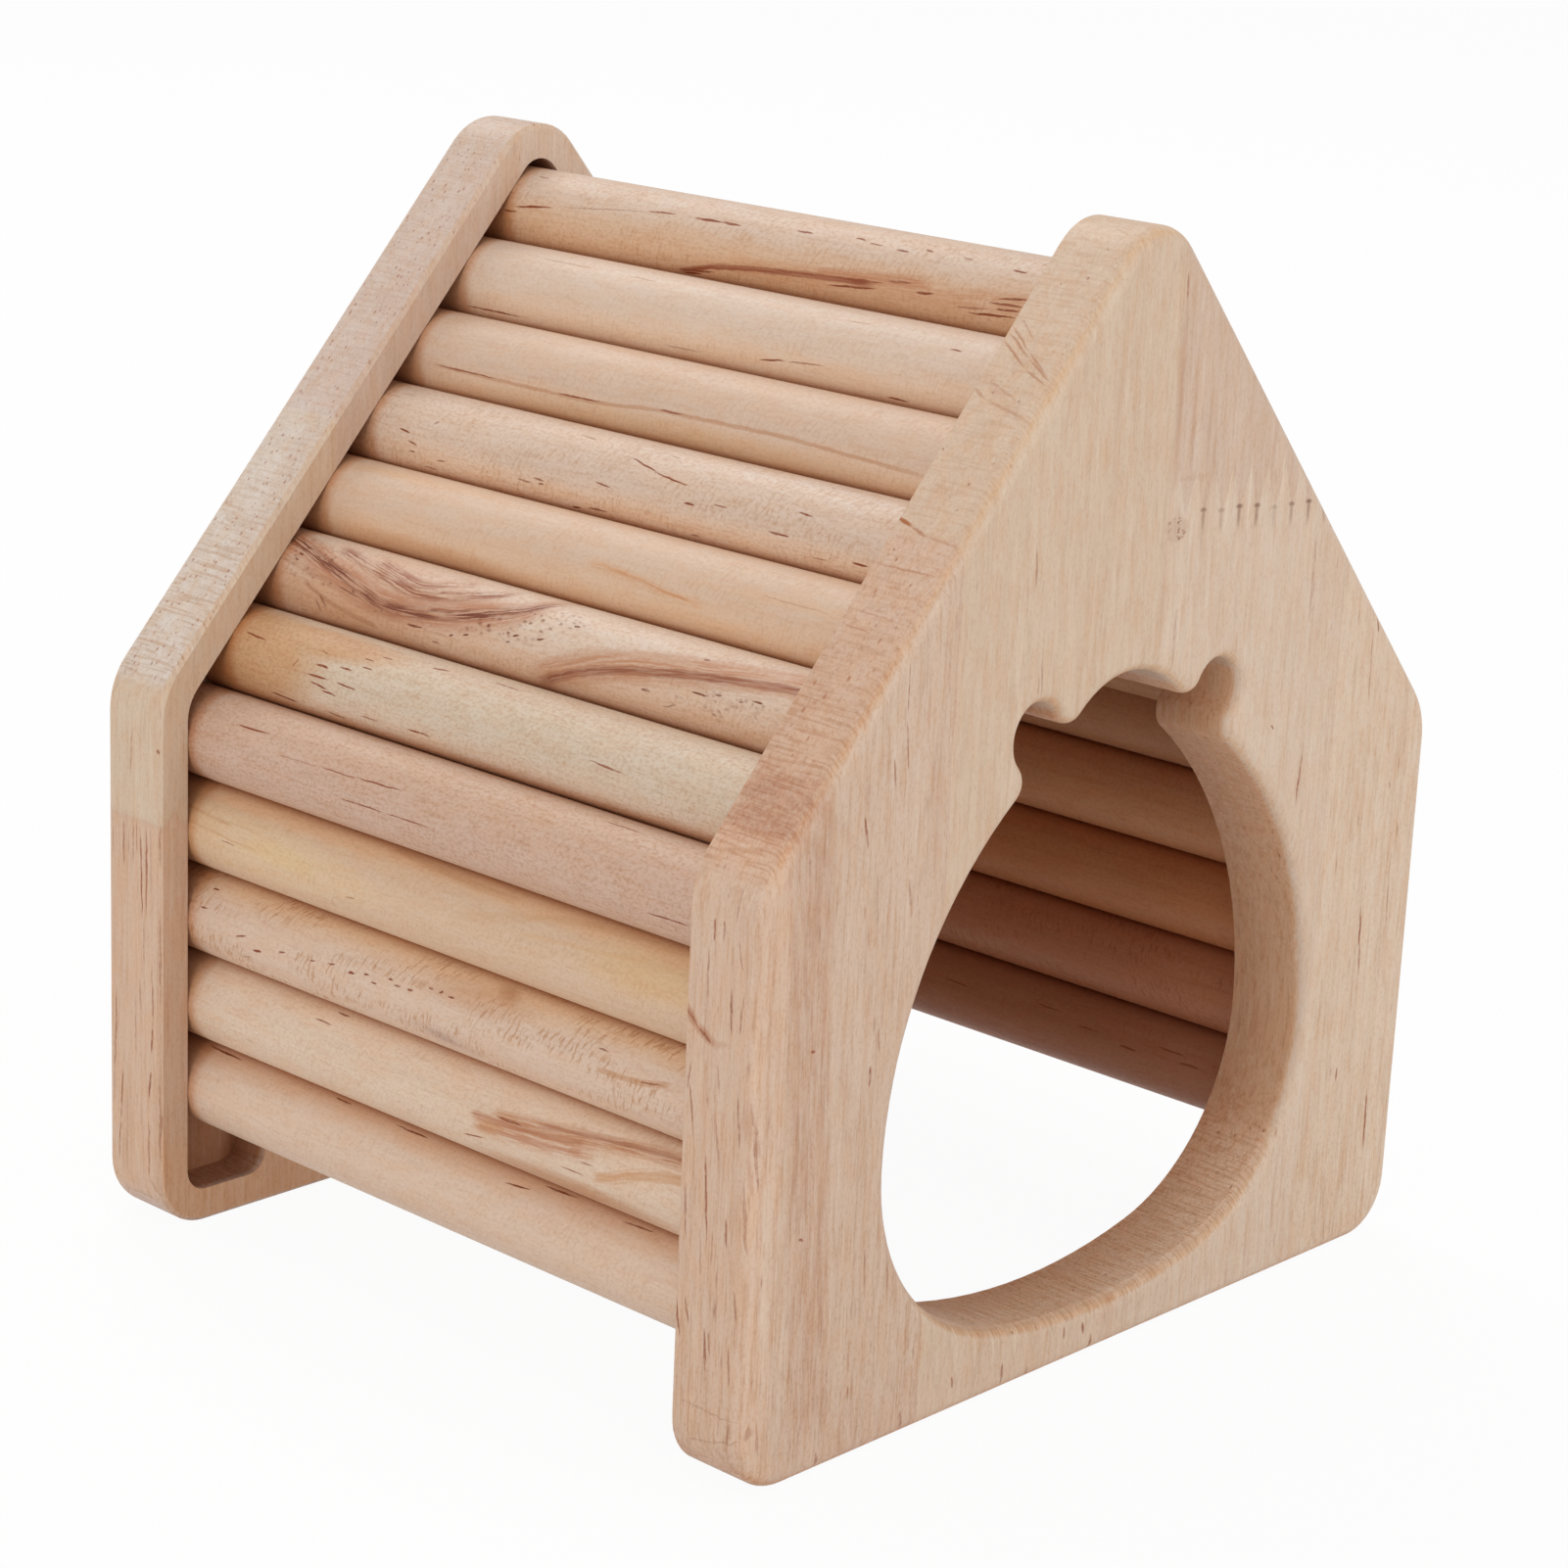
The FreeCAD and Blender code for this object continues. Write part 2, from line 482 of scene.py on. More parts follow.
def plate_wood(name, staves, tones, joints, marks, strip, seed, busy, end_pores, end_tints,
               pale_marks=(), ruddy_marks=(), rough_marks=(), slope_marks=(), slope_bands=(),
               has_door=False):
    """Finger-jointed board with upright grain.  Busy says how strongly each stave is figured."""
    material, spot = new_wood(name)
    shifted = vector_calc("ADD", spot, (seed * 31.0, seed * 17.0, seed * 53.0))
    colour, joint_line, tip = board_colour(spot, staves, tones, joints)
    x, y, z = split(spot)
    normal = out(add(spot.tree, "TexCoord"), "Normal")
    facing = abs(split(normal)[1])
    lively = stave_tones(x, staves, [(value, value, value, 1) for value in busy])
    lively = lively * (fade(z, 34.0, 12.0) * 0.4 + 1.0)
    if has_door:
        # painted light and shade on the door's cut wall
        wall, wall_light_and_shade_tint = door_wall_light_and_shade(spot, facing)
        lively = lively + wall
        colour = blend(wall, colour, scaled(colour, wall_light_and_shade_tint))

    # painted shade in the channel and painted warm light low on the inner face, then fibres, paler
    # between the narrow ones, and pinker patches
    colour = routed(colour, spot)
    colour, _ = streaked(colour, shifted, [(4.0, 45.0, 0.35, 0.7, 0.2)])
    colour, (narrow, hair, grit) = streaked(colour, shifted, [
        (0.7, 11.0, 0.48, 0.72, lively * 0.24),
        (0.28, 4.5, 0.5, 0.72, lively * 0.3),
        (0.3, 0.6, 0.45, 0.72, lively * 0.12 + 0.2),
    ])
    colour = blend(fade(narrow, 0.45, 0.25) * 0.25, colour, bleached)
    pink = fibres(shifted, 1.8, 6.0)
    colour = blend(fade(pink, 0.42, 0.62) * 0.5, colour, blush, "MULTIPLY")

    # one broad redder strip up the board
    middle, lean, half, low, high, strength = strip
    across = z * lean + x
    stripe = fibres(join(across, y, z), 0.5, 8.0)
    band = fade(abs(across - middle), half + 0.8, half - 1.2) * (
        fade(z, low, low + 6) * fade(z, high, high - 12))
    lines = fade(stripe, 0.4, 0.62) * 0.65 + 0.35
    colour = blend(band * lines * strength, colour, ruddy, "MULTIPLY")

    # stains that are drawn one by one
    sway = scaled(swaying(spot, 0.5, 0.9), (0.4, 0.5, 1.0))
    moved = vector_calc("ADD", sway, spot)
    if ruddy_marks:
        colour = blend(mark_chain(moved, ruddy_marks, 1.0), colour, (0.76, 0.56, 0.46, 1),
                       "MULTIPLY")
    if pale_marks:
        colour = blend(mark_chain(moved, pale_marks, 0.9), colour, bleached)
    if rough_marks:
        stipple = pore_lines(shifted, 0.75, 0.6, 0.85, 0.4)
        rough = clamped(mark_chain(moved, rough_marks, 0.4) * (stipple * 1.7 + 0.15))
        colour = blend(rough, colour, tone(146, 90, 62))

    # the sawn roof edges: a painted highlight line at the rim, their tones, fine rungs and
    # crossing lines
    size, share, width, pore_strength = end_pores
    cut = use(end_grain, {
        "Place": shifted, "Normal": normal, "Size": size, "Share": share, "Width": width,
    })
    # painted highlight: a pale yellowish line along the rounded rim
    rim = fade(facing, 0.35, 0.6) * fade(facing, 0.95, 0.8)
    colour = blend(rim * cut["Cut"], colour, (1.04, 0.99, 0.90, 1), "MULTIPLY")
    slope = slope_place(vector_calc("MULTIPLY_ADD", sway, (0.45, 0.45, 0.45), spot))
    up = split(slope)[0]
    colour = end_tint(colour, up, cut["Cut"], end_tints)
    rungs = noise(scaled(shifted, (3.2, 0.14, 0.0)), 2.0)
    rung_depth = fade(up, 40.0, 14.0) * 0.4 + 0.3
    colour = blend(fade(rungs, 0.44, 0.64) * (cut["Cut"] * rung_depth), colour, shade, "MULTIPLY")
    colour = blend(mark_chain(slope, slope_bands, 1.2), colour, ruddy, "MULTIPLY")
    if slope_marks:
        colour = blend(mark_chain(slope, slope_marks, 0.8), colour, tone(168, 102, 58))

    # pores: scattered ones, and large ones that are drawn one by one
    brown = tone(148, 80, 47)
    broken = fade(fibres(shifted, 0.5, 1.3), 0.36, 0.56)
    soft = pore_lines(shifted, 1.2, 7.0, 0.6, 0.24)
    dark = pore_lines(shifted, 2.7, 15.0, 0.35, 0.24)
    pores = lively * ((broken * 0.7 + 0.3) * most(soft * 0.3, dark * 0.42))
    drawn = mark_chain(moved, marks) * (broken * 0.55 + 0.45)
    for mask in (cut["Pores"] * pore_strength, pores, drawn):
        colour = blend(mask, colour, brown)

    # glue lines, and the gaps at the fingers' ends
    face = fade(facing, 0.9, 0.97)
    colour = blend(seam_mask(x, staves) * (face * 0.1), colour, brown)
    colour = blend(joint_line * 0.08, colour, brown)
    colour = blend(tip, colour, tone(130, 90, 70))

    bare_wood(colour, hair * 0.5 + grit * 0.5 - pores, grit)
    return material


front_marks = marks_of(face_mark, [
    (35.9, 74.5, 35.3, 65.8, 0.2, 0.69), (35.4, 70.5, 35.3, 66, 0.18, 0.92),
    (49.4, 88, 49.8, 77, 0.18, 0.52), (50.6, 88.5, 50.7, 86.8, 0.24, 0.8),
    (52.2, 49, 52.6, 43.2, 0.25, 1), (52.7, 43.5, 53, 39.2, 0.21, 1),
    (58.1, 56, 58.6, 42, 0.18, 0.46), (59.1, 59.2, 59.3, 57.4, 0.26, 0.69),
    (57.5, 22, 57.9, 12.2, 0.21, 0.98), (49.9, 26.8, 49.8, 24.8, 0.24, 0.69),
    (-41.9, 97.5, -41.9, 91, 0.14, 0.69), (-41.9, 90.5, -41.2, 84, 0.18, 0.69),
    (-43.8, 86.5, -43.3, 82.8, 0.24, 0.57), (-48.4, 80.6, -47.6, 76.5, 0.24, 0.86),
    (-45.6, 73, -45.2, 66.5, 0.2, 0.34), (-40.1, 71.5, -39.6, 67, 0.24, 0.46),
    (-45.2, 49.8, -45.2, 47.2, 0.25, 0.8), (-44.1, 54, -43.8, 51, 0.18, 0.57),
    (-55.5, 53.7, -55, 53.7, 0.18, 1), (-56, 31, -55.5, 30.8, 0.18, 0.92),
    (-44.5, 27, -44.1, 20, 0.2, 0.52), (-40.4, 25, -40.1, 19.5, 0.18, 0.46),
    (-46.3, 9.8, -46.2, 7.5, 0.18, 0.69), (-61.9, 10, -61.5, 5.5, 0.29, 0.4),
    (-51.4, 2.6, -51.2, 1.2, 0.29, 0.57), (-20.6, 108, -20.3, 102.5, 0.18, 0.52),
    (-18.4, 94.5, -18, 89, 0.18, 0.4), (6.9, 96.5, 6.9, 88.5, 0.26, 0.34),
    (4.6, 137.5, 4.6, 134.5, 0.2, 0.57), (35, 102, 34.9, 90, 0.29, 0.34),
    (28.6, 77.8, 29, 77.4, 0.18, 0.8), (56.3, 65.2, 56.4, 64.6, 0.24, 0.69),
    (-17.5, 3.8, -17.6, 1.3, 0.29, 0.86), (-12.6, 2, -12.5, 1, 0.26, 0.8),
    (-5.6, 5.3, -5.5, 3.8, 0.24, 0.69), (-1.9, 4.8, -1.7, 3.3, 0.26, 0.86),
    (-0.1, 2.6, 0, 0.8, 0.29, 0.86), (-36.5, 3.4, -36.4, 1.2, 0.29, 0.69),
    (-27.2, 5, -27, 3.6, 0.24, 0.63), (-63.9, 47.5, -63.2, 38.5, 0.2, 0.57),
]) + marks_of(side_mark, [
    (18, -48.9, 23.2, -48, 0.22, 0.85), (20, -50.2, 23.4, -49.5, 0.2, 0.75),
    (15, -53.2, 20.4, -52.7, 0.22, 0.8), (17.2, -53.8, 20.2, -53.4, 0.19, 0.6),
    (26, -52, 32.5, -51.4, 0.17, 0.4), (30.3, -52.6, 42.6, -51.8, 0.19, 0.8),
    (28.4, -53.5, 33, -53.4, 0.19, 0.4), (31.2, -55.7, 34.5, -55.4, 0.22, 0.8),
    (30.2, -49.3, 37.6, -48.8, 0.19, 0.6), (43, -49.9, 49.5, -48.9, 0.2, 0.7),
    (48.6, -48.6, 52, -49, 0.17, 0.5), (40, -54.1, 46, -53.3, 0.19, 0.45),
    (49.4, -53.6, 53, -53.3, 0.17, 0.4), (43.8, -57.1, 50.2, -56.5, 0.22, 0.65),
    (40, -59.6, 49.6, -58.3, 0.2, 0.4), (14.4, -57, 19.4, -56.6, 0.2, 0.6),
    (21.8, -57.7, 26.4, -57.2, 0.2, 0.55), (30.6, -58.5, 40.6, -57.8, 0.24, 0.45),
    (7.4, -57, 9.8, -57.3, 0.29, 0.45), (8, -59, 9.8, -59.2, 0.29, 0.4),
    (10.2, -48.6, 10.2, -59.5, 0.14, 0.3), (5.6, -50.4, 6.6, -54.6, 0.17, 0.3),
    (6.6, -54.6, 8, -59, 0.17, 0.3), (57.9, -48.2, 56.5, -49.8, 0.24, 0.6),
    (56.3, -50.1, 55.2, -52, 0.26, 0.8), (60, -51.1, 66.6, -51.2, 0.17, 0.55),
    (67.1, -51.9, 69.8, -51.9, 0.22, 0.8), (67.4, -53.4, 69.8, -53.4, 0.2, 0.75),
    (64.6, -56.5, 68, -55.7, 0.19, 0.4), (56.9, -55.1, 62.4, -54.8, 0.22, 0.8),
    (56.9, -56.4, 62, -56.8, 0.2, 0.6), (70, -55.2, 74.6, -55.4, 0.2, 0.4),
])
front_pale_marks = marks_of(face_mark, [
    (15.2, 104, 16.2, 112.3, 0.25, 0.42), (20, 104, 20.2, 113, 0.3, 0.45),
    (26.7, 106, 26.9, 114.4, 0.25, 0.36), (11.9, 103, 12.6, 111, 0.24, 0.18),
    (23.6, 104.5, 23.6, 112, 0.24, 0.18), (29.9, 106, 30.4, 112.8, 0.27, 0.21),
    (8.6, 103, 8.9, 110.5, 0.3, 0.27), (5.4, 86, 5.6, 103, 0.42, 0.27),
    (7.4, 88, 7.8, 104, 0.3, 0.24), (10.2, 88, 10.2, 101, 0.3, 0.15),
    (-22.9, 78, -21.6, 92, 0.42, 0.3), (-23.8, 100, -21.6, 84, 0.3, 0.21),
    (-26.6, 10.5, -26.4, 4.5, 0.36, 0.3), (-23.1, 10.2, -22.9, 4, 0.36, 0.33),
    (-19.6, 9, -19.4, 4, 0.3, 0.27), (-15.4, 8.4, -15.2, 3.6, 0.3, 0.27),
    (-30.2, 10.5, -30, 5, 0.3, 0.18), (-62, 44, -61.3, 12, 0.9, 0.35),
])
front_ruddy_marks = marks_of(face_mark, [
    (4.6, 112.5, 4.8, 137, 0.8, 0.5), (4.3, 114, 4.4, 131, 0.25, 0.4),
    (7.6, 111.5, 7.8, 130, 0.5, 0.35), (10.8, 111.5, 11.1, 126, 0.45, 0.35),
    (12.2, 111.5, 12.3, 119, 0.35, 0.3), (24.2, 108.5, 24.5, 118, 0.3, 0.24),
    (28.4, 108.5, 28.6, 114.5, 0.3, 0.28), (4.4, 112.5, 13, 112.2, 0.5, 0.25),
    (-64.3, 50, -64.3, 44, 0.36, 0.56), (-64.3, 44, -63.7, 37.5, 0.3, 0.49),
    (37.4, 11.5, 37.6, 7.5, 0.42, 0.42), (-46.4, 26, -46.2, 20, 0.3, 0.21),
    (-36, 88, -35.6, 70, 1.4, 0.2),
]) + marks_of(side_mark, [
    (58.4, -48, 56.4, -49.6, 0.8, 1), (56.6, -49.4, 55.2, -52.4, 0.9, 1),
    (55.2, -52.4, 55.4, -54.6, 0.5, 0.45),
])
front_slope_marks = marks_of(slope_mark, [
    (48.8, -47.8, 48, -50.4, 0.34, 1), (48, -50.4, 47.2, -53, 0.28, 0.6),
    (47.2, -53, 46.7, -58.6, 0.24, 0.3), (34.2, -48.2, 33.8, -53.5, 0.18, 0.4),
    (36.2, -48.4, 36, -56, 0.18, 0.3), (42.4, -48.4, 42.6, -58, 0.2, 0.4),
    (74.2, -48, 70.9, -53.4, 0.22, 0.6), (70.9, -53.4, 69.2, -57.6, 0.22, 0.5),
    (75.3, -48.3, 72.4, -53, 0.2, 0.6), (72.4, -53, 69.8, -57.8, 0.2, 0.55),
    (76.2, -48.2, 73.3, -52.5, 0.2, 0.55), (73.3, -52.5, 70.4, -57, 0.2, 0.5),
    (77.4, -49, 74.6, -52.6, 0.16, 0.35), (92.6, -52.2, 90.9, -57.4, 0.16, 0.35),
    (13.7, -48, 13.8, -58.4, 0.24, 0.4), (67.2, -47.9, 66, -50.2, 0.3, 0.4),
    (66, -50.2, 64.4, -57.8, 0.28, 0.35), (68.6, -49.4, 66.4, -55.2, 0.24, 0.3),
    (22.4, -50.2, 22.8, -50.2, 0.3, 0.7), (24.6, -52, 25, -52, 0.28, 0.65),
    (26, -49.6, 26.4, -49.6, 0.26, 0.6), (27.6, -53.8, 28, -53.8, 0.28, 0.65),
    (19.2, -53, 19.6, -53, 0.24, 0.5), (33, -55, 33.4, -55, 0.24, 0.5),
    (38.8, -50.6, 39.2, -50.6, 0.26, 0.55),
])
front_slope_bands = marks_of(slope_mark, [
    (8.2, -46, 8.4, -61, 1.7, 0.5), (11.9, -46, 12, -61, 1.8, 0.5),
    (69.2, -48.4, 66.6, -52.6, 0.8, 0.3), (66.6, -52.6, 63.8, -57.4, 0.8, 0.25),
    (16, -48.5, 32, -50.5, 3, 0.2),
])
front_staves = (-60.0, -33.8, 4.0, 42.0)
front_tones = (
    ((220, 190, 167), (219, 190, 167)),
    ((214, 186, 165), (215, 189, 168)),
    ((219, 194, 172), (216, 192, 169)),
    ((219, 197, 177), (213, 188, 168)),
    ((221, 198, 176), (219, 195, 175)),
)
front_joints = (
    (4.0, 42.0, 111.5, 2.8, 10.9, 1.0, 0.085),
    (-60.0, 4.0, 6.6, 3.2, -59.0, 0.0, 0.0),
)
front_wood = plate_wood(
    "front_plate_wood", front_staves, front_tones, front_joints, front_marks,
    strip=(-53.0, 0.053, 3.6, 4.0, 130.0, 0.6), seed=0.0, busy=(1.9, 1.9, 1.05, 1.2, 1.6),
    end_pores=(1.3, 0.5, 0.17, 0.7), end_tints=(
        (0, (0.98, 0.92, 0.89)), (14, (0.99, 0.93, 0.90)), (17, (0.98, 0.90, 0.855)),
        (30, (0.98, 0.90, 0.855)), (37, (0.995, 0.93, 0.90)), (46, (0.995, 0.93, 0.90)),
        (48, (0.995, 0.97, 0.96)), (76, (1.01, 0.99, 0.98)), (80, (1.02, 1.02, 1.03))),
    pale_marks=front_pale_marks, ruddy_marks=front_ruddy_marks,
    rough_marks=[face_mark(5.4, 106.3, 6.3, 106.3, 1.8, 1.0)],
    slope_marks=front_slope_marks, slope_bands=front_slope_bands, has_door=True,
)
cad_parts["front_plate"].material_slots[0].material = front_wood


# ---- Back plate ----
# The same glued-up board without a door, turned so that its channel faces the front plate.
# Its upper staves are paler than the lower ones, with a finger joint between them.

back_marks = marks_of(side_mark, [
    (8, 56.3, 14, 55.9, 0.18, 0.68), (14, 55.9, 21.5, 55.4, 0.2, 0.77),
    (15.6, 57.4, 21, 57.2, 0.17, 0.45), (20, 57.2, 33, 56.7, 0.18, 0.72),
    (7.5, 54.6, 19, 54.5, 0.17, 0.32), (43.8, 58.5, 46.6, 58.6, 0.18, 0.63),
    (50, 58.7, 56, 58.7, 0.24, 0.9), (49.6, 55, 56, 55.1, 0.2, 0.68), (51, 54, 55, 54, 0.14, 0.32),
    (23.8, 52.6, 33, 52.8, 0.17, 0.41), (30, 51.6, 35, 51.8, 0.17, 0.45),
    (36.9, 50.8, 43.2, 51.1, 0.15, 0.45), (43, 51.2, 56, 51.6, 0.2, 0.85),
    (43, 50.4, 56, 50.3, 0.18, 0.81), (5, 47.8, 7.2, 49.9, 0.17, 0.45),
    (7.2, 49.9, 16, 50, 0.2, 0.68), (18.8, 49.9, 22.6, 49.5, 0.24, 0.9),
    (25.2, 49.4, 28.6, 49.1, 0.24, 0.9), (28.4, 49, 37.5, 49.2, 0.18, 0.63),
    (9, 47.9, 22, 47.9, 0.14, 0.5), (31, 47.9, 46, 47.9, 0.14, 0.45),
    (51, 47.9, 57, 47.9, 0.14, 0.5), (50, 53.1, 56.6, 53.1, 0.13, 0.6),
    (52, 52.3, 56.8, 52.3, 0.12, 0.55), (47, 49.4, 56.4, 49.5, 0.12, 0.5),
    (50, 57.4, 56.6, 57.4, 0.12, 0.4), (61.6, 53.7, 68.8, 53.2, 0.21, 0.41),
    (66.5, 48, 66.7, 48, 0.22, 1),
])
back_staves = (-36.0, -8.0, 21.0, 47.0)
back_tones = (
    ((219, 187, 162), (220, 197, 173)),
    ((216, 190, 167), (217, 194, 176)),
    ((214, 187, 164), (216, 193, 174)),
    ((218, 193, 170), (213, 186, 163)),
    ((213, 186, 163), (217, 192, 170)),
)
back_joints = (
    (-70.0, -36.0, 57.3, 1.2, -64.0, 0.0, 0.0),
    (-36.0, 21.0, 30.0, 3.4, -30.0, 0.6, 0.0),
    (21.0, 70.0, 96.0, 3.4, 20.0, 0.6, 0.0),
)
back_wood = plate_wood(
    "back_plate_wood", back_staves, back_tones, back_joints, back_marks,
    strip=(31.0, 0.03, 4.0, 12.0, 130.0, 0.4), seed=3.0, busy=(1.3, 1.1, 1.3, 1.0, 1.5),
    end_pores=(0.62, 0.7, 0.17, 0.6), end_tints=(
        (0, (1.01, 1.13, 1.33)), (40, (1.01, 1.13, 1.33)), (47, (0.98, 1.02, 1.09)),
        (90, (0.98, 1.01, 1.07))),
    slope_bands=[slope_mark(-20, 49.4, 110, 49.4, 3.6, 0.22)],
)
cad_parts["back_plate"].material_slots[0].material = back_wood


# ---- Ridge rod ----
# The topmost of the 23 turned rods, 12 mm thick.  Its ends are glued into the channels of the
# two plates.  Pale wood with a run of red-brown lines low on the left.

rod_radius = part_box("ridge_rod")[1].x * 1000
round_rod = 2 * math.pi * rod_radius


def arc_at(turn):
    """How far round a rod a turn lies.  Turns are degrees over the top, 180 being outside."""
    return math.radians(180 - turn) * rod_radius


def rod_place(spot, middle, side):
    """Where a point lies on a rod: along it and round it, and in the wood, grain along Z."""
    x, y, z = split(vector_calc("SUBTRACT", spot, middle))
    arc = calc("ARCTAN2", z, x * side) * rod_radius
    return join(y, arc, 0.0), join(x, z, y)


def make_rings():
    """Growth rings round a pith: the line of each ring's late wood."""
    group, start, end = new_group("growth_rings", {
        "Place": (0.0, 0.0, 0.0), "Pith": (0.0, 0.0, 0.0), "Spacing": 2.0, "Wander": 0.5,
        "Sharp": 4.0,
    }, ["Line"])
    from_pith = vector_calc("SUBTRACT", start["Place"], start["Pith"])
    from_pith = scaled(from_pith, (1.0, 1.0, 0.0))
    radius = vector_calc("LENGTH", from_pith, output="Value")
    drift = noise(scaled(start["Place"], (0.16, 0.16, 0.035)), 1.0)
    turns = (radius + (drift - 0.5) * start["Wander"]) / start["Spacing"]
    fill(end["Line"], calc("POWER", calc("FRACT", turns), start["Sharp"]))
    return group


def make_ripple():
    """Ray flecks: short slanting lines across the grain, stronger in some places."""
    group, start, end = new_group("ray_ripple", {
        "Skin": (0.0, 0.0, 0.0), "Slant": 0.4, "Fine": 0.42, "Length": 1.9,
    }, ["Value"])
    along, arc, _ = split(start["Skin"])
    leaning = arc * start["Slant"] + along
    lines = noise(join(leaning / start["Fine"], arc / start["Length"], 0.0), 1.0)
    places = noise(scaled(start["Skin"], (0.07, 0.25, 0.0)), 0.0)
    fill(end["Value"], fade(lines, 0.5, 0.68) * fade(places, 0.4, 0.6))
    return group


def make_vein():
    """A streak of darker wood about a curved middle line: feathered, with lines inside."""
    group, start, end = new_group("wood_vein", {
        "Along": 0.0, "Offset": 0.0, "Width": 1.0, "Feather": 0.5, "Lines": 0.5,
    }, ["Mask"])
    frayed = noise(join(start["Along"] / 7.0, start["Offset"] / 0.35, 0.0), 2.0)
    edge = (frayed - 0.5) * (start["Feather"] * 2.0) + abs(start["Offset"])
    near = fade(edge, start["Width"], start["Width"] * 0.45)
    lines = fade(frayed, 0.62, 0.42) * start["Lines"]
    fill(end["Mask"], clamped(near * (1.0 - lines)))
    return group


growth_rings = make_rings()
ray_ripple = make_ripple()
wood_vein = make_vein()


def skin_mark(y0, turn0, y1, turn1, width, depth):
    """A mark on a rod, from one point along and round it to another."""
    return long_mark((y0, arc_at(turn0), 0), (y1, arc_at(turn1), 0), width, depth)


def vein_mask(along, arc, points, width, feather, lines):
    """The mask of one vein, whose middle line goes through (along, turn) points."""
    first, last = points[0][0], points[-1][0]
    where = (along - first) / (last - first)
    node = add(along.tree, "FloatCurve", {"Value": where})
    line = node.mapping.curves[0].points
    for i, (y, turn) in enumerate(points):
        spot = ((y - first) / (last - first), turn / 360)
        if i in (0, len(points) - 1):
            line[-1 if i else 0].location = spot
        else:
            line.new(*spot)
    node.mapping.update()
    middle = round_rod / 2 - out(node) * round_rod
    mask = use(wood_vein, {
        "Along": along, "Offset": arc - middle, "Width": width, "Feather": feather,
        "Lines": lines,
    })["Mask"]
    return mask * (fade(where, -0.03, 0.06) * fade(where, 1.03, 0.94))


# the turns at which the next rods touch one, by its place in the house
touch_turns = {"ridge": (-48.7, 228.7), "roof": (48.7, 228.7), "eave": (58.2, 270.0),
               "wall": (90.0, 270.0)}


def touching(arc, node):
    """How near a point on a rod is to the two lines where its neighbours touch it."""
    mask = 0.0
    for turn in next(turns for place, turns in touch_turns.items() if place in node):
        mask = most(mask, fade(abs(arc - arc_at(turn)), 2.6, 0.5))
    return mask


def rod_wood(node, pale, deep, turned=(105, 195), grain=1.0, ring=0.08,
             pores=(1.8, 18.0, 0.06, 0.12), mottle=0.35, ripple=0.25, marks=(), veins=(),
             patches=(), dotted=(), brown=(140, 70, 38)):
    """Turned rod of plain wood, grain along the rod, with its own rings, pores and marks.

    It goes from its pale tone to its deep one between two turns; this is partly the wood's own
    tone and partly painted light and shade on the rod's top, underside and inner side.  It has
    painted shade, browner, where the next rods touch it and at its ends by the channels.  Marks
    and dotted are rows for skin_mark.  A vein is (its points, width, feather, lines, depth, tone)
    and a patch (rows of marks, tone, edge).
    """
    low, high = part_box(node)
    middle = (low + high) * 500
    on_right = middle.x > 1
    material, spot = new_wood(node + "_wood")
    skin, inner = rod_place(spot, tuple(middle), 1.0 if on_right else -1.0)
    from_middle = abs(split(skin)[0])
    seed = (middle.x * 7.0 + 3.0, middle.z * 5.0, middle.x + middle.z)
    wood = vector_calc("ADD", inner, seed)
    skin = vector_calc("MULTIPLY_ADD", swaying(wood, 0.6), (0.8, 0.3, 0.0), skin)
    along, arc, _ = split(skin)

    # tones round the rod, partly painted light and shade, tinted patches, rings, fibres and flecks
    if on_right:
        start, end = [math.radians(turn) * rod_radius for turn in turned]
        lit_to_shaded = fade(abs(arc), start, end)
    else:
        lit_to_shaded = fade(arc, *map(arc_at, turned))
    broad = fibres(wood, 5.0, 30.0)
    colour = blend(clamped((broad - 0.5) * (mottle * 2) + lit_to_shaded), tone(*pale), tone(*deep))
    for rows, stain, edge in patches:
        colour = blend(mark_chain(skin, marks_of(skin_mark, rows), edge), colour, tone(*stain))
    rings = use(growth_rings, {
        "Place": inner, "Pith": (8.0, 12.0, 0.0), "Spacing": 2.5, "Wander": 1.6, "Sharp": 3.0,
    })["Line"]
    colour = blend(rings * ring, colour, shade, "MULTIPLY")
    pink = fibres(wood, 1.9, 6.0)
    colour = blend(fade(pink, 0.42, 0.62) * 0.4, colour, blush, "MULTIPLY")
    colour, (narrow, grit) = streaked(colour, wood, [
        (0.45, 5.0, 0.45, 0.72, 0.2 * grain),
        (0.36, 0.6, 0.42, 0.7, 0.34 * grain),
    ])
    flecks = use(ray_ripple, {"Skin": skin})["Value"]
    colour = blend(flecks * ripple, colour, shade, "MULTIPLY")

    # veins, pores, dotted stretches and marks
    for points, width, feather, lines, depth, stain in veins:
        mask = vein_mask(along, arc, points, width, feather, lines)
        colour = blend(mask * depth, colour, tone(*stain))
    brown = tone(*brown)
    small = pore_lines(wood, *pores)
    colour = blend(small * 0.5, colour, brown)
    if dotted:
        dots = pore_lines(wood, 0.55, 0.9, 0.6, 0.3)
        colour = blend(dots * mark_chain(skin, marks_of(skin_mark, dotted), 0.8), colour, brown)
    if marks:
        broken = fade(fibres(wood, 0.4, 1.6), 0.3, 0.5)
        drawn = mark_chain(skin, marks_of(skin_mark, marks)) * (broken * 0.45 + 0.55)
        colour = blend(drawn, colour, brown)

    # painted shade, browner: the last two millimetres that show by the channels, and the lines of
    # touch
    shown_end = 47.6
    painted_contact_shade = most(touching(arc, node), fade(from_middle, shown_end - 2.2, shown_end))
    colour = blend(painted_contact_shade * 0.8, colour, (0.80, 0.52, 0.33, 1), "MULTIPLY")
    bare_wood(colour, narrow * 0.3 + grit * 0.7 - small, grit, 0.18 + 0.12 * grain)
    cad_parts[node].material_slots[0].material = material


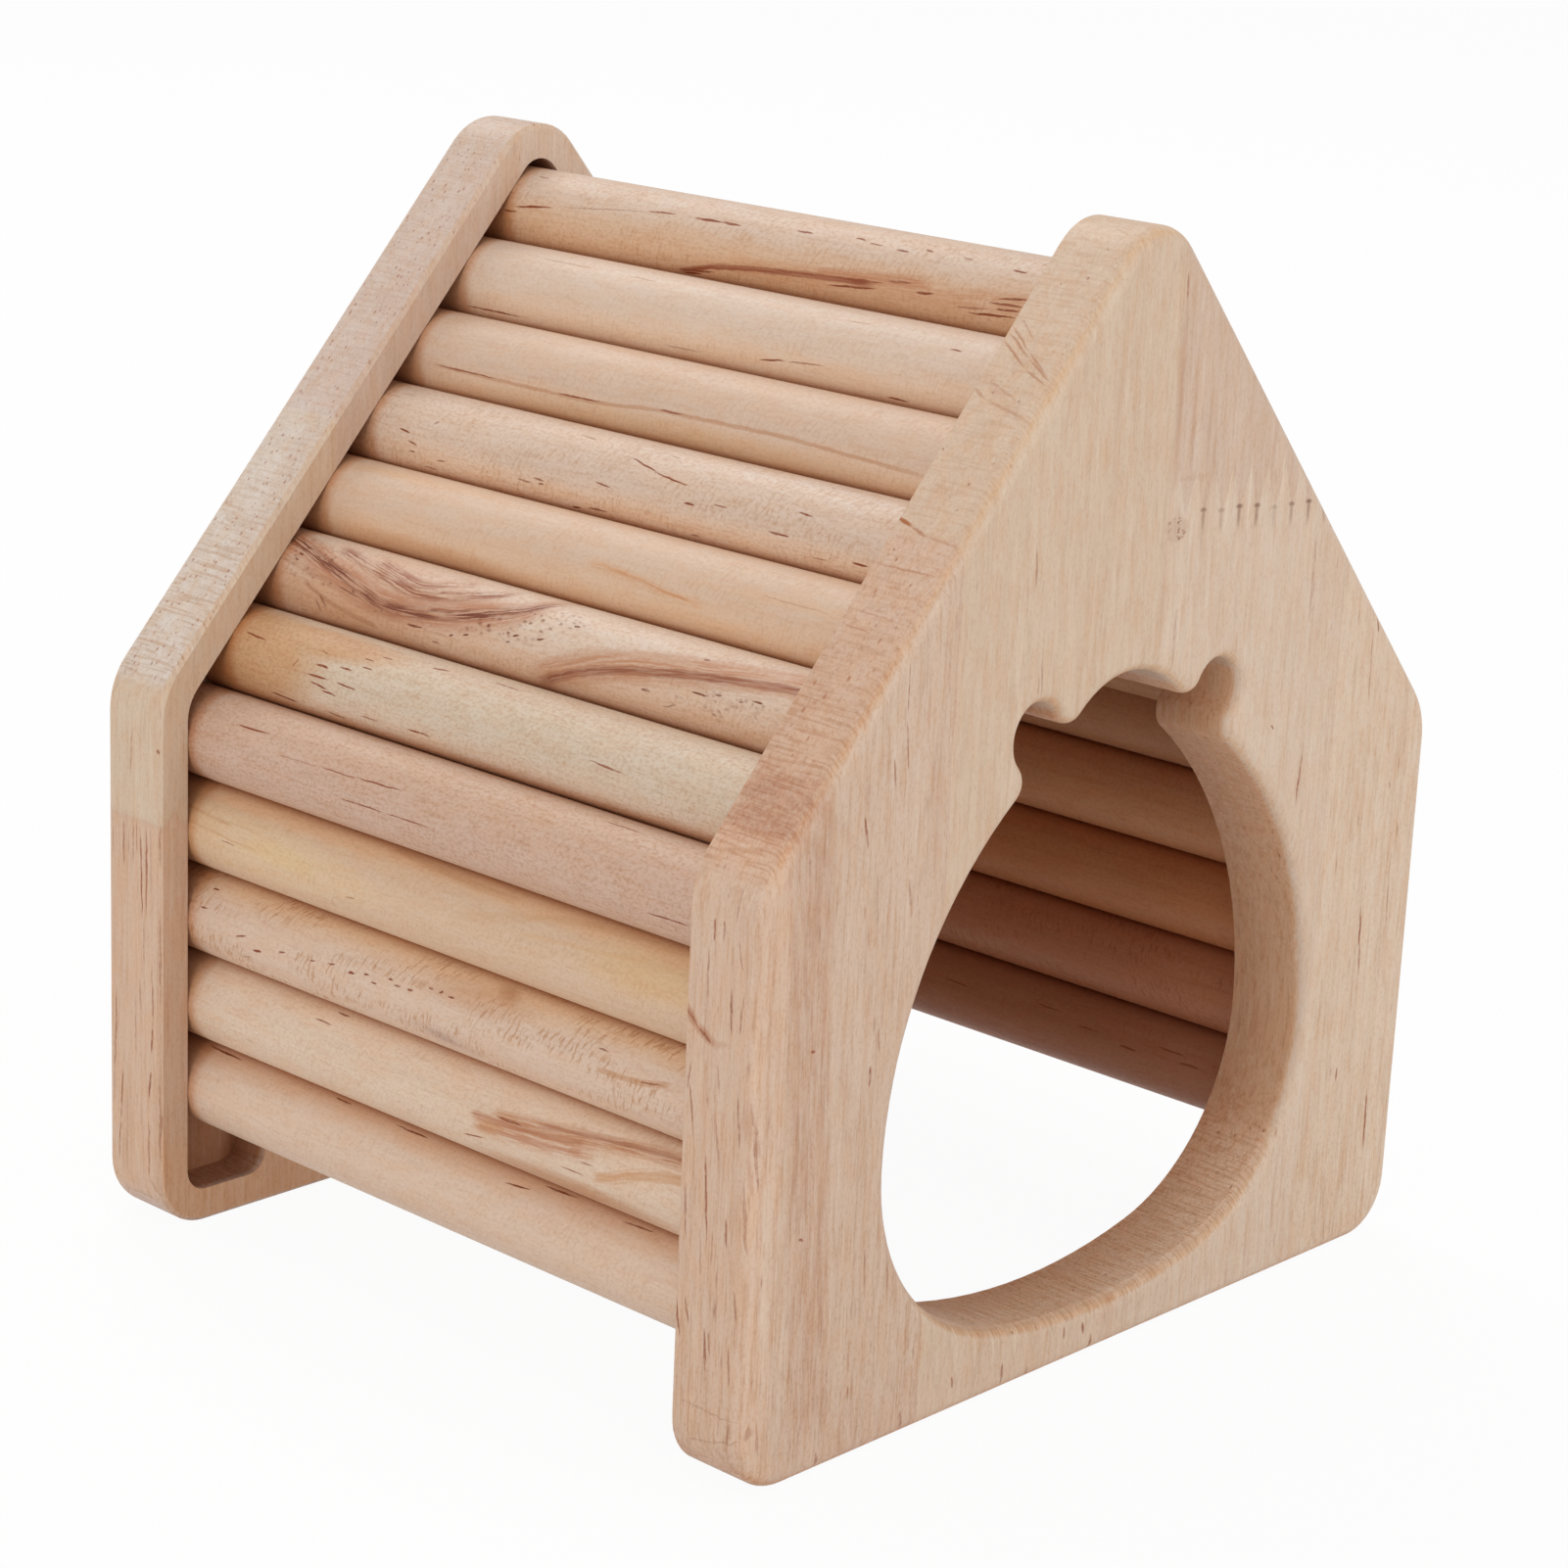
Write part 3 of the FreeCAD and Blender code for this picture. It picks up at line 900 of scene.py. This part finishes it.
rod_wood(
    "ridge_rod", (219, 195, 176), (223, 185, 151), turned=(130, 185), grain=1.5,
    ripple=0.45,
    marks=[
        (-41.5, 133, -39.4, 132, 0.17, 0.94), (-32.6, 127, -31.2, 127, 0.17, 0.66),
        (-26, 126, -25, 125, 0.18, 0.88), (-22.8, 133, -20.6, 133, 0.17, 0.94),
        (-18.2, 131, -16, 130, 0.14, 0.72), (-15, 127, -13.6, 126, 0.18, 0.88),
        (-6.4, 131, -3.8, 131, 0.18, 0.94), (5.4, 138, 9.5, 138, 0.2, 0.94),
        (8.5, 138, 13.6, 139, 0.24, 1), (17, 138, 22.4, 141, 0.17, 0.83),
        (22, 142, 38, 157, 0.12, 0.39), (39, 159, 46.4, 167, 0.18, 1),
        (45.6, 173, 48, 174, 0.17, 0.88), (43, 117, 45, 116, 0.17, 0.55),
        (-43.6, 165, -38.8, 170, 0.17, 0.94), (-43, 174, -37.4, 176, 0.17, 0.88),
        (-42.4, 180, -38.6, 182, 0.18, 0.99), (-42, 188, -34, 193, 0.2, 1),
        (-37.6, 184, -32, 188, 0.17, 0.55), (-28.6, 178, -25.8, 180, 0.2, 1),
        (-25, 170, -21, 173, 0.17, 0.66), (-20.6, 176, -14, 180, 0.17, 0.77),
        (-19.5, 185, -11, 191, 0.18, 1), (9, 204, 15.5, 209, 0.21, 1),
        (11.5, 210, 15, 213, 0.21, 1),
    ],
    veins=[
        (((-45, 170), (-36, 176), (-29, 181), (-22, 178), (-14, 180), (-5, 184), (6, 190)),
         1.7, 1.5, 0.6, 0.6, (198, 138, 96)),
        (((-28, 168), (-22, 171), (-16, 175), (-9, 180)), 1.1, 1.0, 0.6, 0.7, (186, 120, 80)),
        (((-19, 180), (-10, 183), (-2, 187), (4, 191), (9, 197), (16, 212)), 0.5, 0.35, 0.3,
         0.95, (146, 74, 42)),
    ],
    patches=[([(-44, 196, 26, 204, 2.6, 0.6)], (208, 160, 120), 1.0)],
)


# ---- Left roof rods ----
# Six rods side by side on the left slope, counted down from the ridge.  They were picked
# from mixed dowel stock, so each differs in colour and figure.

rod_wood(
    "left_roof_rod_1", (222, 199, 180), (235, 205, 177), turned=(145, 205), grain=0.9,
    marks=[
        (-39, 134, -37, 134, 0.15, 0.83), (-23.2, 120, -19.4, 122, 0.12, 0.39),
        (14, 119, 19, 119, 0.12, 0.39), (26, 118, 36, 118, 0.12, 0.44),
        (-18.5, 184, -12, 188, 0.12, 0.66), (-12, 188, -7.2, 193, 0.14, 0.94),
        (-31.8, 208, -28.2, 208, 0.17, 0.99), (3, 200, 10, 200, 0.14, 0.44),
        (36, 204, 47.6, 204, 0.16, 0.94),
    ],
)
rod_wood(
    "left_roof_rod_2", (218, 190, 168), (236, 201, 169), turned=(165, 205), grain=0.9,
    marks=[
        (-2.4, 173, 1.8, 173, 0.15, 0.83), (12, 180, 20.5, 181, 0.14, 0.94),
        (31, 180, 44, 180, 0.12, 0.83),
    ],
    veins=[
        (((-43, 181), (-32, 177), (-22, 173), (-6, 173), (4, 175), (11, 181), (24, 182),
          (44, 180)), 0.35, 0.15, 0.2, 0.6, (186, 130, 88)),
    ],
    patches=[([(-45, 200, 48, 204, 2.6, 0.5)], (206, 170, 130), 1.0)],
)
rod_wood(
    "left_roof_rod_3", (221, 197, 178), (237, 206, 178), turned=(160, 205), grain=1.6,
    ripple=0.5, pores=(1.6, 6.0, 0.2, 0.16),
    marks=[
        (-31.6, 150, -29, 148, 0.15, 0.99), (-10.8, 149, -4, 142, 0.14, 1),
        (-5, 142, 0.6, 130, 0.14, 1), (-6.5, 114, -4.5, 112, 0.12, 0.5),
        (8, 116, 11, 114, 0.12, 0.55), (-17.8, 163, -15.6, 163, 0.14, 0.77),
        (-12.3, 169, -10.6, 169, 0.17, 1), (-28.6, 179, -25, 179, 0.17, 1),
        (-41.2, 191, -38.6, 191, 0.18, 1), (-34.5, 196, -31.8, 197, 0.14, 0.55),
        (2.2, 173, 5, 171, 0.14, 0.83), (-13, 208, -11.4, 208, 0.16, 0.66),
        (3, 206, 6.6, 207, 0.16, 0.88), (8.2, 211, 9.6, 212, 0.2, 0.99),
        (14, 186, 16.2, 184, 0.14, 0.83), (14.2, 190, 15, 190, 0.15, 0.99),
        (16.4, 191, 19.2, 191, 0.14, 0.77), (32.8, 192, 34.4, 193, 0.15, 0.77),
        (38.2, 180, 39.8, 177, 0.15, 0.88), (38.8, 190, 39.8, 189, 0.14, 0.83),
        (39.8, 167, 41.8, 164, 0.15, 1), (35.3, 144, 35.8, 147, 0.16, 0.72),
        (34.8, 208, 37.2, 207, 0.15, 0.72), (22, 221, 23.4, 221, 0.15, 0.88),
    ],
    patches=[([(-52, 118, -6, 108, 2, 0.6)], (230, 212, 198), 1.0)],
)
rod_wood(
    "left_roof_rod_4", (219, 190, 166), (231, 196, 163), turned=(150, 205), grain=0.8,
    mottle=0.2,
    marks=[(-42, 146, -30, 145, 0.11, 0.28)],
    veins=[
        (((-22, 174), (-15, 169), (-9, 163), (-2, 159)), 1.0, 1.3, 0.8, 0.6, (212, 152, 98)),
        (((-20, 173), (-15, 169), (-10, 164), (-5, 161)), 0.26, 0.4, 0.6, 0.7, (200, 132, 78)),
    ],
    patches=[
        ([(8, 203, 48, 201, 1.8, 0.5)], (202, 150, 104), 1.0),
        ([(-46, 145, -20, 150, 0.9, 0.35)], (222, 178, 136), 1.0),
        ([(16, 105, 50, 108, 1.2, 0.5)], (226, 184, 144), 1.0),
    ],
)
rod_wood(
    "left_roof_rod_5", (224, 203, 185), (222, 187, 159), turned=(135, 195), grain=1.5,
    ripple=0.4, pores=(1.1, 4.0, 0.3, 0.18), mottle=0.5, brown=(128, 70, 48),
    marks=[
        (-39.6, 156, -38, 156, 0.16, 1), (-36.6, 160, -36, 161, 0.12, 0.77),
        (-33.2, 160, -32, 161, 0.12, 0.77), (-30.8, 165, -28.4, 165, 0.15, 1),
        (-21.6, 178, -20.4, 178, 0.18, 1), (-26.2, 185, -24, 192, 0.12, 0.66),
        (-28.8, 123, -28, 123, 0.16, 0.88), (-7, 127, -6.4, 128, 0.17, 1),
        (-2.4, 154, -1.6, 156, 0.17, 1), (1.8, 158, 2.6, 160, 0.17, 1),
        (3, 168, 3.6, 169, 0.16, 0.99), (10.4, 174, 11.2, 176, 0.16, 0.99),
        (13, 180, 13.8, 182, 0.16, 0.99), (16, 196, 17.2, 196, 0.16, 0.77),
        (19, 182, 21.8, 183, 0.17, 0.99), (31, 168, 35.5, 161, 0.12, 0.77),
        (38.6, 178, 37.6, 190, 0.26, 0.55), (39.4, 186, 38.8, 200, 0.26, 0.55),
        (43.6, 123, 44.4, 122, 0.17, 0.99), (44, 135, 44.8, 133, 0.17, 0.99),
        (44.4, 143, 45, 142, 0.16, 0.88),
    ],
    veins=[
        (((-46, 118), (-36, 130), (-30, 138), (-24, 146), (-18, 156), (-12, 169), (-7, 184),
          (-1, 206)), 2.9, 1.4, 0.5, 0.9, (190, 132, 94)),
        (((-46, 128), (-36, 137), (-30, 144), (-24, 152), (-18, 161), (-12, 174), (-7, 189),
          (-2, 208)), 0.8, 0.6, 0.5, 0.9, (142, 78, 50)),
        (((-1.5, 98), (0.5, 112), (3, 128), (6, 138), (10, 148), (14, 156), (18, 161),
          (23, 165), (27, 166), (30, 160), (34, 150), (39, 138), (45, 122), (49, 112)),
         2.8, 1.8, 0.6, 0.9, (184, 120, 84)),
        (((-1.5, 96), (0.5, 110), (3, 126), (6, 137), (10, 148), (14, 157), (18, 163),
          (23, 168), (27, 168), (30, 161), (34, 150), (39, 138), (45, 122), (49, 112)),
         1.2, 1.3, 0.9, 0.95, (114, 56, 37)),
        (((6, 98), (8, 110), (12, 125), (15, 133), (19, 140), (22, 142), (27, 134), (33, 122),
          (39, 108)), 1.4, 1.6, 0.9, 0.95, (148, 84, 56)),
        (((13, 104), (17, 118), (21, 128), (25, 124), (31, 110)), 1.0, 1.4, 0.9, 0.9,
         (156, 92, 64)),
        (((22, 176), (26, 179), (30, 173), (35, 162), (42, 152), (49, 140)), 0.7, 0.8, 0.6, 0.6,
         (176, 120, 84)),
        (((28, 198), (33, 192), (38, 180), (42, 166)), 0.5, 0.5, 0.4, 0.6, (170, 112, 78)),
    ],
    patches=[
        ([(6, 140, 44, 130, 6.2, 0.7)], (212, 167, 136), 1.2),
        ([(20, 196, 52, 176, 4.4, 0.75)], (204, 154, 116), 1.2),
    ],
    dotted=[(-9, 118, 13, 170, 2.6, 1), (14, 178, 46, 160, 1.6, 0.8),
            (36, 138, 50, 122, 2.8, 0.9), (-44, 160, -24, 182, 2.4, 0.7)],
)
rod_wood(
    "left_roof_rod_6", (217, 198, 177), (226, 203, 181), turned=(170, 210), grain=1.8,
    marks=[
        (-26, 168, -19.4, 164, 0.11, 0.72), (-24.4, 167, -20.6, 165, 0.14, 0.88),
        (9.6, 106, 12.4, 110, 0.2, 1), (-3, 104, 2, 101, 0.17, 0.77),
        (19, 116, 21, 116, 0.15, 0.88), (21.6, 127, 23.4, 126, 0.14, 0.83),
        (21, 138, 22.8, 138, 0.14, 0.88), (24.2, 147, 26.4, 146, 0.14, 1),
        (22.4, 168, 26.2, 166, 0.14, 0.99), (28.4, 152, 30.6, 152, 0.2, 1),
        (28, 166, 31.8, 166, 0.16, 1), (27.6, 178, 31.2, 175, 0.15, 1),
        (26, 183, 28.8, 181, 0.15, 1), (29.6, 135, 31, 134, 0.14, 0.83),
        (34, 152, 34.8, 164, 0.14, 0.55), (41.2, 142, 45.6, 139, 0.15, 1),
        (8.4, 197, 13, 197, 0.15, 1), (18.4, 199, 21.6, 199, 0.15, 0.77),
        (25, 212, 28.6, 211, 0.15, 0.77), (34, 211, 39.6, 207, 0.2, 1),
    ],
    patches=[
        # painted shade along the top, under the rod above
        ([(-50, 106, 50, 106, 2.4, 0.5)], (200, 168, 140), 1.2),
        ([(36, 158, 62, 164, 9, 1), (18, 112, 60, 140, 3.4, 0.9)], (206, 164, 124), 0.6),
    ],
)


# ---- Left eave rod ----
# One rod lies in the bend where the roof slope meets the wall.  Pinkish wood with a few
# long dark lines.

rod_wood(
    "left_eave_rod", (219, 190, 169), (210, 178, 158), turned=(108, 140),
    grain=2.0, mottle=0.7,
    marks=[
        (-43.8, 194, -36, 196, 0.14, 1), (-31, 103, -24, 103, 0.17, 0.66),
        (1, 183, 9.5, 183, 0.12, 0.88), (9, 183, 18.2, 184, 0.12, 0.94),
        (6.6, 151, 15.5, 153, 0.12, 0.94), (15, 154, 22, 155, 0.11, 0.72),
        (22, 156, 31, 157, 0.11, 0.44), (33.2, 136, 39.8, 138, 0.16, 1),
    ],
    patches=[([(-46, 128, 48, 130, 3.2, 0.45)], (204, 168, 140), 1.0)],
)


# ---- Left wall rods ----
# Four rods below the eave make the upright wall and stop above the ground.  The first is
# yellowish, the second speckled, the third has dark streaks near the front plate, and the
# fourth is plain.

rod_wood(
    "left_wall_rod_1", (239, 200, 161), (220, 190, 162), turned=(115, 150),
    marks=[(38, 176, 41.2, 175, 0.11, 0.66), (14.8, 188, 16.4, 190, 0.12, 0.55)],
    veins=[
        (((-44, 112), (-30, 116), (-20, 125), (-12, 146), (-4, 160)), 0.9, 0.9, 0.5, 0.4,
         (208, 160, 112)),
        (((-12, 122), (0, 118), (12, 108)), 0.8, 0.7, 0.5, 0.5, (206, 154, 106)),
        (((-46, 139), (-36, 142), (-24, 150), (-14, 160)), 0.4, 0.4, 0.3, 0.35, (214, 168, 116)),
        (((40, 153), (45, 150), (49, 146)), 0.35, 0.4, 0.4, 0.45, (194, 136, 86)),
        (((34, 172), (42, 169), (49, 163)), 0.3, 0.4, 0.4, 0.4, (196, 140, 90)),
    ],
    patches=[
        ([(-50, 150, -26, 156, 3.8, 0.55)], (222, 184, 132), 1.0),
        ([(13, 176, 80, 164, 4.6, 1)], (224, 194, 160), 0.3),
        ([(22, 170, 36, 168, 1.8, 0.55)], (227, 196, 142), 1.2),
    ],
)
rod_wood(
    "left_wall_rod_2", (238, 203, 168), (224, 197, 176), turned=(115, 155), grain=1.2,
    ripple=1.0, pores=(1.4, 3.0, 0.12, 0.16),
    marks=[
        (-30, 146, -28.4, 146, 0.11, 0.75), (-40, 160, -36, 166, 0.11, 0.77),
        (-3.2, 152, -2.2, 153, 0.16, 1), (-1, 149, -0.6, 152, 0.15, 0.99),
        (0.8, 151, 1.4, 151, 0.14, 0.83), (3.8, 161, 4.8, 162, 0.17, 1),
        (6.2, 162, 7.2, 163, 0.15, 0.88), (7.8, 158, 8.4, 158, 0.14, 1),
        (10.4, 169, 11.2, 170, 0.16, 1), (12.2, 162, 13, 163, 0.15, 1),
        (14.8, 167, 15.8, 168, 0.2, 1), (18.6, 165, 19.8, 167, 0.16, 0.99),
        (22.4, 170, 23.2, 172, 0.14, 0.83), (28, 174, 29.2, 176, 0.15, 0.88),
        (32.8, 185, 34.4, 187, 0.22, 1), (35.8, 172, 38, 178, 0.14, 0.88),
        (35, 198, 37.2, 204, 0.11, 0.5), (43.9, 130, 44.9, 130, 0.16, 1),
        (44.4, 157, 45.6, 158, 0.16, 0.94),
    ],
    veins=[
        (((-41, 157), (-36, 166), (-29, 169)), 0.5, 0.3, 0.2, 0.65, (190, 136, 92)),
    ],
    patches=[
        ([(-3.6, 211, 1.6, 205, 0.8, 0.8)], (184, 152, 138), 1.0),
        ([(-8, 214, 4.4, 203, 1.7, 0.45)], (196, 166, 150), 1.0),
        ([(-16, 136, 2, 146, 2.6, 0.6)], (206, 156, 116), 1.2),
        ([(-12, 128, -10, 120, 1.6, 0.6)], (196, 142, 100), 1.0),
    ],
)
rod_wood(
    "left_wall_rod_3", (244, 218, 193), (228, 203, 180), turned=(115, 160), grain=1.2,
    mottle=0.25,
    marks=[
        (-16.2, 160, -11.8, 161, 0.18, 1), (-9.6, 194, -5.8, 200, 0.14, 0.94),
        (-27.4, 189, -23.4, 189, 0.14, 0.66), (-29, 173, -26.6, 174, 0.14, 0.61),
        (19.4, 113, 21.8, 113, 0.17, 0.88), (20.8, 133, 24.2, 133, 0.14, 0.77),
    ],
    veins=[
        (((-46, 126), (-36, 134), (-30, 141), (-24, 149), (-19, 155), (-11, 162)), 1.5, 1.2,
         0.6, 0.9, (190, 128, 86)),
        (((-46, 124), (-36, 132), (-30, 138), (-24, 145), (-19, 151)), 0.4, 0.3, 0.3, 0.6,
         (164, 104, 74)),
        (((-29, 156), (-23, 165), (-17, 171), (-8, 175)), 2.1, 2.0, 0.8, 0.8, (194, 134, 98)),
        (((-27, 152), (-20, 161), (-14, 166), (-7, 169)), 0.5, 0.5, 0.5, 0.8, (178, 114, 78)),
        (((-27, 163), (-20, 172), (-13, 178), (-9, 180)), 0.4, 0.4, 0.4, 0.7, (184, 120, 84)),
        (((-45, 148), (-40, 154), (-36, 164), (-32, 178), (-29, 186)), 0.9, 1.0, 0.4, 0.8,
         (204, 148, 100)),
    ],
    patches=[([(-42, 218, -8, 222, 2.4, 0.8)], (194, 142, 102), 1.0),
             ([(-13, 174, -9, 179, 1.2, 0.7)], (208, 152, 96), 1.0)],
)
rod_wood(
    "left_wall_rod_4", (228, 190, 160), (227, 200, 178), turned=(115, 150), mottle=0.3,
    marks=[
        (-36, 112, -31, 115, 0.17, 0.88), (-22.4, 109, -17, 111, 0.2, 1),
        (-15.6, 124, -11.4, 128, 0.16, 1), (4, 113, 10.4, 113, 0.17, 1),
        (19, 110, 22.4, 110, 0.17, 0.99), (40.6, 113, 48, 111, 0.17, 1),
    ],
)


# ---- Right rods ----
# The eleven rods of the right slope and wall, from the same mixed stock.  Each has plain
# figure of its own, and the lowest one has short dark lines on its inner side.  Their deeper,
# browner tone on the inner side is painted shade of the inside of the house.

right_tones_and_inner_shade = {
    "right_roof_rod_1": ((218, 191, 164), (209, 168, 132), 0.2),
    "right_roof_rod_2": ((222, 197, 174), (207, 164, 130), 0.1),
    "right_roof_rod_3": ((216, 183, 154), (205, 158, 122), 0.25),
    "right_roof_rod_4": ((219, 193, 170), (207, 160, 124), 0.1),
    "right_roof_rod_5": ((214, 181, 157), (203, 154, 118), 0.1),
    "right_roof_rod_6": ((219, 191, 160), (207, 158, 118), 0.3),
    "right_eave_rod": ((212, 175, 150), (201, 150, 114), 0.15),
    "right_wall_rod_1": ((214, 181, 152), (218, 160, 118), 0.2),
    "right_wall_rod_2": ((214, 179, 144), (205, 140, 96), 0.2),
    "right_wall_rod_3": ((211, 176, 150), (195, 132, 97), 0.15),
    "right_wall_rod_4": ((208, 171, 145), (184, 124, 92), 0.2),
}
right_extras = {
    "right_wall_rod_3": {"ripple": 0.8},
    "right_wall_rod_4": {"marks": [
        (-38, 16, -34.5, 16, 0.16, 0.9), (-35, 26, -30, 27, 0.15, 0.8),
        (-27, 12, -24, 12, 0.16, 0.9), (-20, 20, -16, 20, 0.15, 0.7),
        (-13, 30, -8, 31, 0.15, 0.7), (4, 22, 9, 23, 0.15, 0.7),
    ]},
}
for rod, (pale, deep, ring) in right_tones_and_inner_shade.items():
    rod_wood(rod, pale, deep, turned=(40, 110), grain=1.2, ring=ring, mottle=0.3,
             pores=(1.6, 8.0, 0.2, 0.18), **right_extras.get(rod, {}))


# ---- Floor and light ----
# A plain white sweep under the house, an even white sky and four soft lamps: overhead, high
# behind, low on the left and in front.  The floor shows white and keeps a faint shadow.

floor_mesh = bpy.data.meshes.new("floor")
floor_mesh.from_pydata([(-6, -6, 0), (6, -6, 0), (6, 6, 0), (-6, 6, 0)], [], [(0, 1, 2, 3)])
floor = bpy.data.objects.new("floor", floor_mesh)
bpy.context.scene.collection.objects.link(floor)
floor_paint = bpy.data.materials.new("white_sweep")
floor_paint.use_nodes = True
paint = floor_paint.node_tree
paint.nodes.clear()
matt = add(paint, "BsdfDiffuse", {"Color": (0.8, 0.8, 0.8, 1)})
glow = add(paint, "Emission", {"Color": (1, 1, 1, 1), "Strength": 1.0})
rays = add(paint, "LightPath")
seen = most(out(rays, "Is Camera Ray"), out(rays, "Is Glossy Ray"))
seen = most(seen, out(rays, "Is Transmission Ray"))
mixed = add(paint, "MixShader", {0: seen * 0.95, 1: out(matt), 2: out(glow)})
add(paint, "OutputMaterial", {"Surface": out(mixed)})
floor_mesh.materials.append(floor_paint)

world = bpy.data.worlds.new("white_studio")
bpy.context.scene.world = world
world.use_nodes = True
sky = world.node_tree
sky.nodes.clear()
even = add(sky, "Background", {"Color": (1, 1, 1, 1), "Strength": 0.66})
white = add(sky, "Background", {"Color": (1, 1, 1, 1), "Strength": 1.0})
rays = add(sky, "LightPath")
mixed = add(sky, "MixShader", {0: out(rays, "Is Camera Ray"), 1: out(even), 2: out(white)})
add(sky, "OutputWorld", {"Surface": out(mixed)})


def soft_lamp(name, spot, aim, size, power):
    data = bpy.data.lights.new(name, "AREA")
    data.shape = "DISK"
    data.size = size
    data.energy = power
    lamp = bpy.data.objects.new(name, data)
    bpy.context.scene.collection.objects.link(lamp)
    lamp.location = spot
    lamp.rotation_euler = (Vector(aim) - Vector(spot)).to_track_quat("-Z", "Y").to_euler()


house_middle = (0.0, 0.0, 0.07)
soft_lamp("overhead", (-0.25, -0.1, 1.5), house_middle, 1.0, 2.0)
soft_lamp("high_back", (0.3, 0.9, 1.2), house_middle, 0.8, 6.0)
soft_lamp("low_left", (-1.5, -0.3, 0.3), house_middle, 0.8, 3.6)
soft_lamp("front", (0.25, -1.5, 0.5), house_middle, 0.8, 5.2)


# ---- Camera ----
# Eye level a little above the ridge, off the front left corner, with a moderate lens and a
# slight roll.  The eye's place is in metres.

camera_data = bpy.data.cameras.new("camera")
camera_data.sensor_width = 36.0
camera_data.lens = 90.54
camera_data.clip_start = 0.01
camera = bpy.data.objects.new("camera", camera_data)
bpy.context.scene.collection.objects.link(camera)
eye = (-0.368155, -0.340554, 0.207415)
heading = math.radians(47.410)
climb = math.radians(-16.192)
roll = math.radians(2.560)
forward = Vector((math.sin(heading) * math.cos(climb), math.cos(heading) * math.cos(climb),
                  math.sin(climb)))
level = Vector((math.cos(heading), -math.sin(heading), 0))
upright = level.cross(forward)
right = level * math.cos(roll) + upright * math.sin(roll)
up = upright * math.cos(roll) - level * math.sin(roll)
turned = Matrix((right, up, -forward)).transposed().to_4x4()
camera.matrix_world = Matrix.Translation(eye) @ turned
bpy.context.scene.camera = camera

bpy.context.scene.view_settings.view_transform = "Standard"
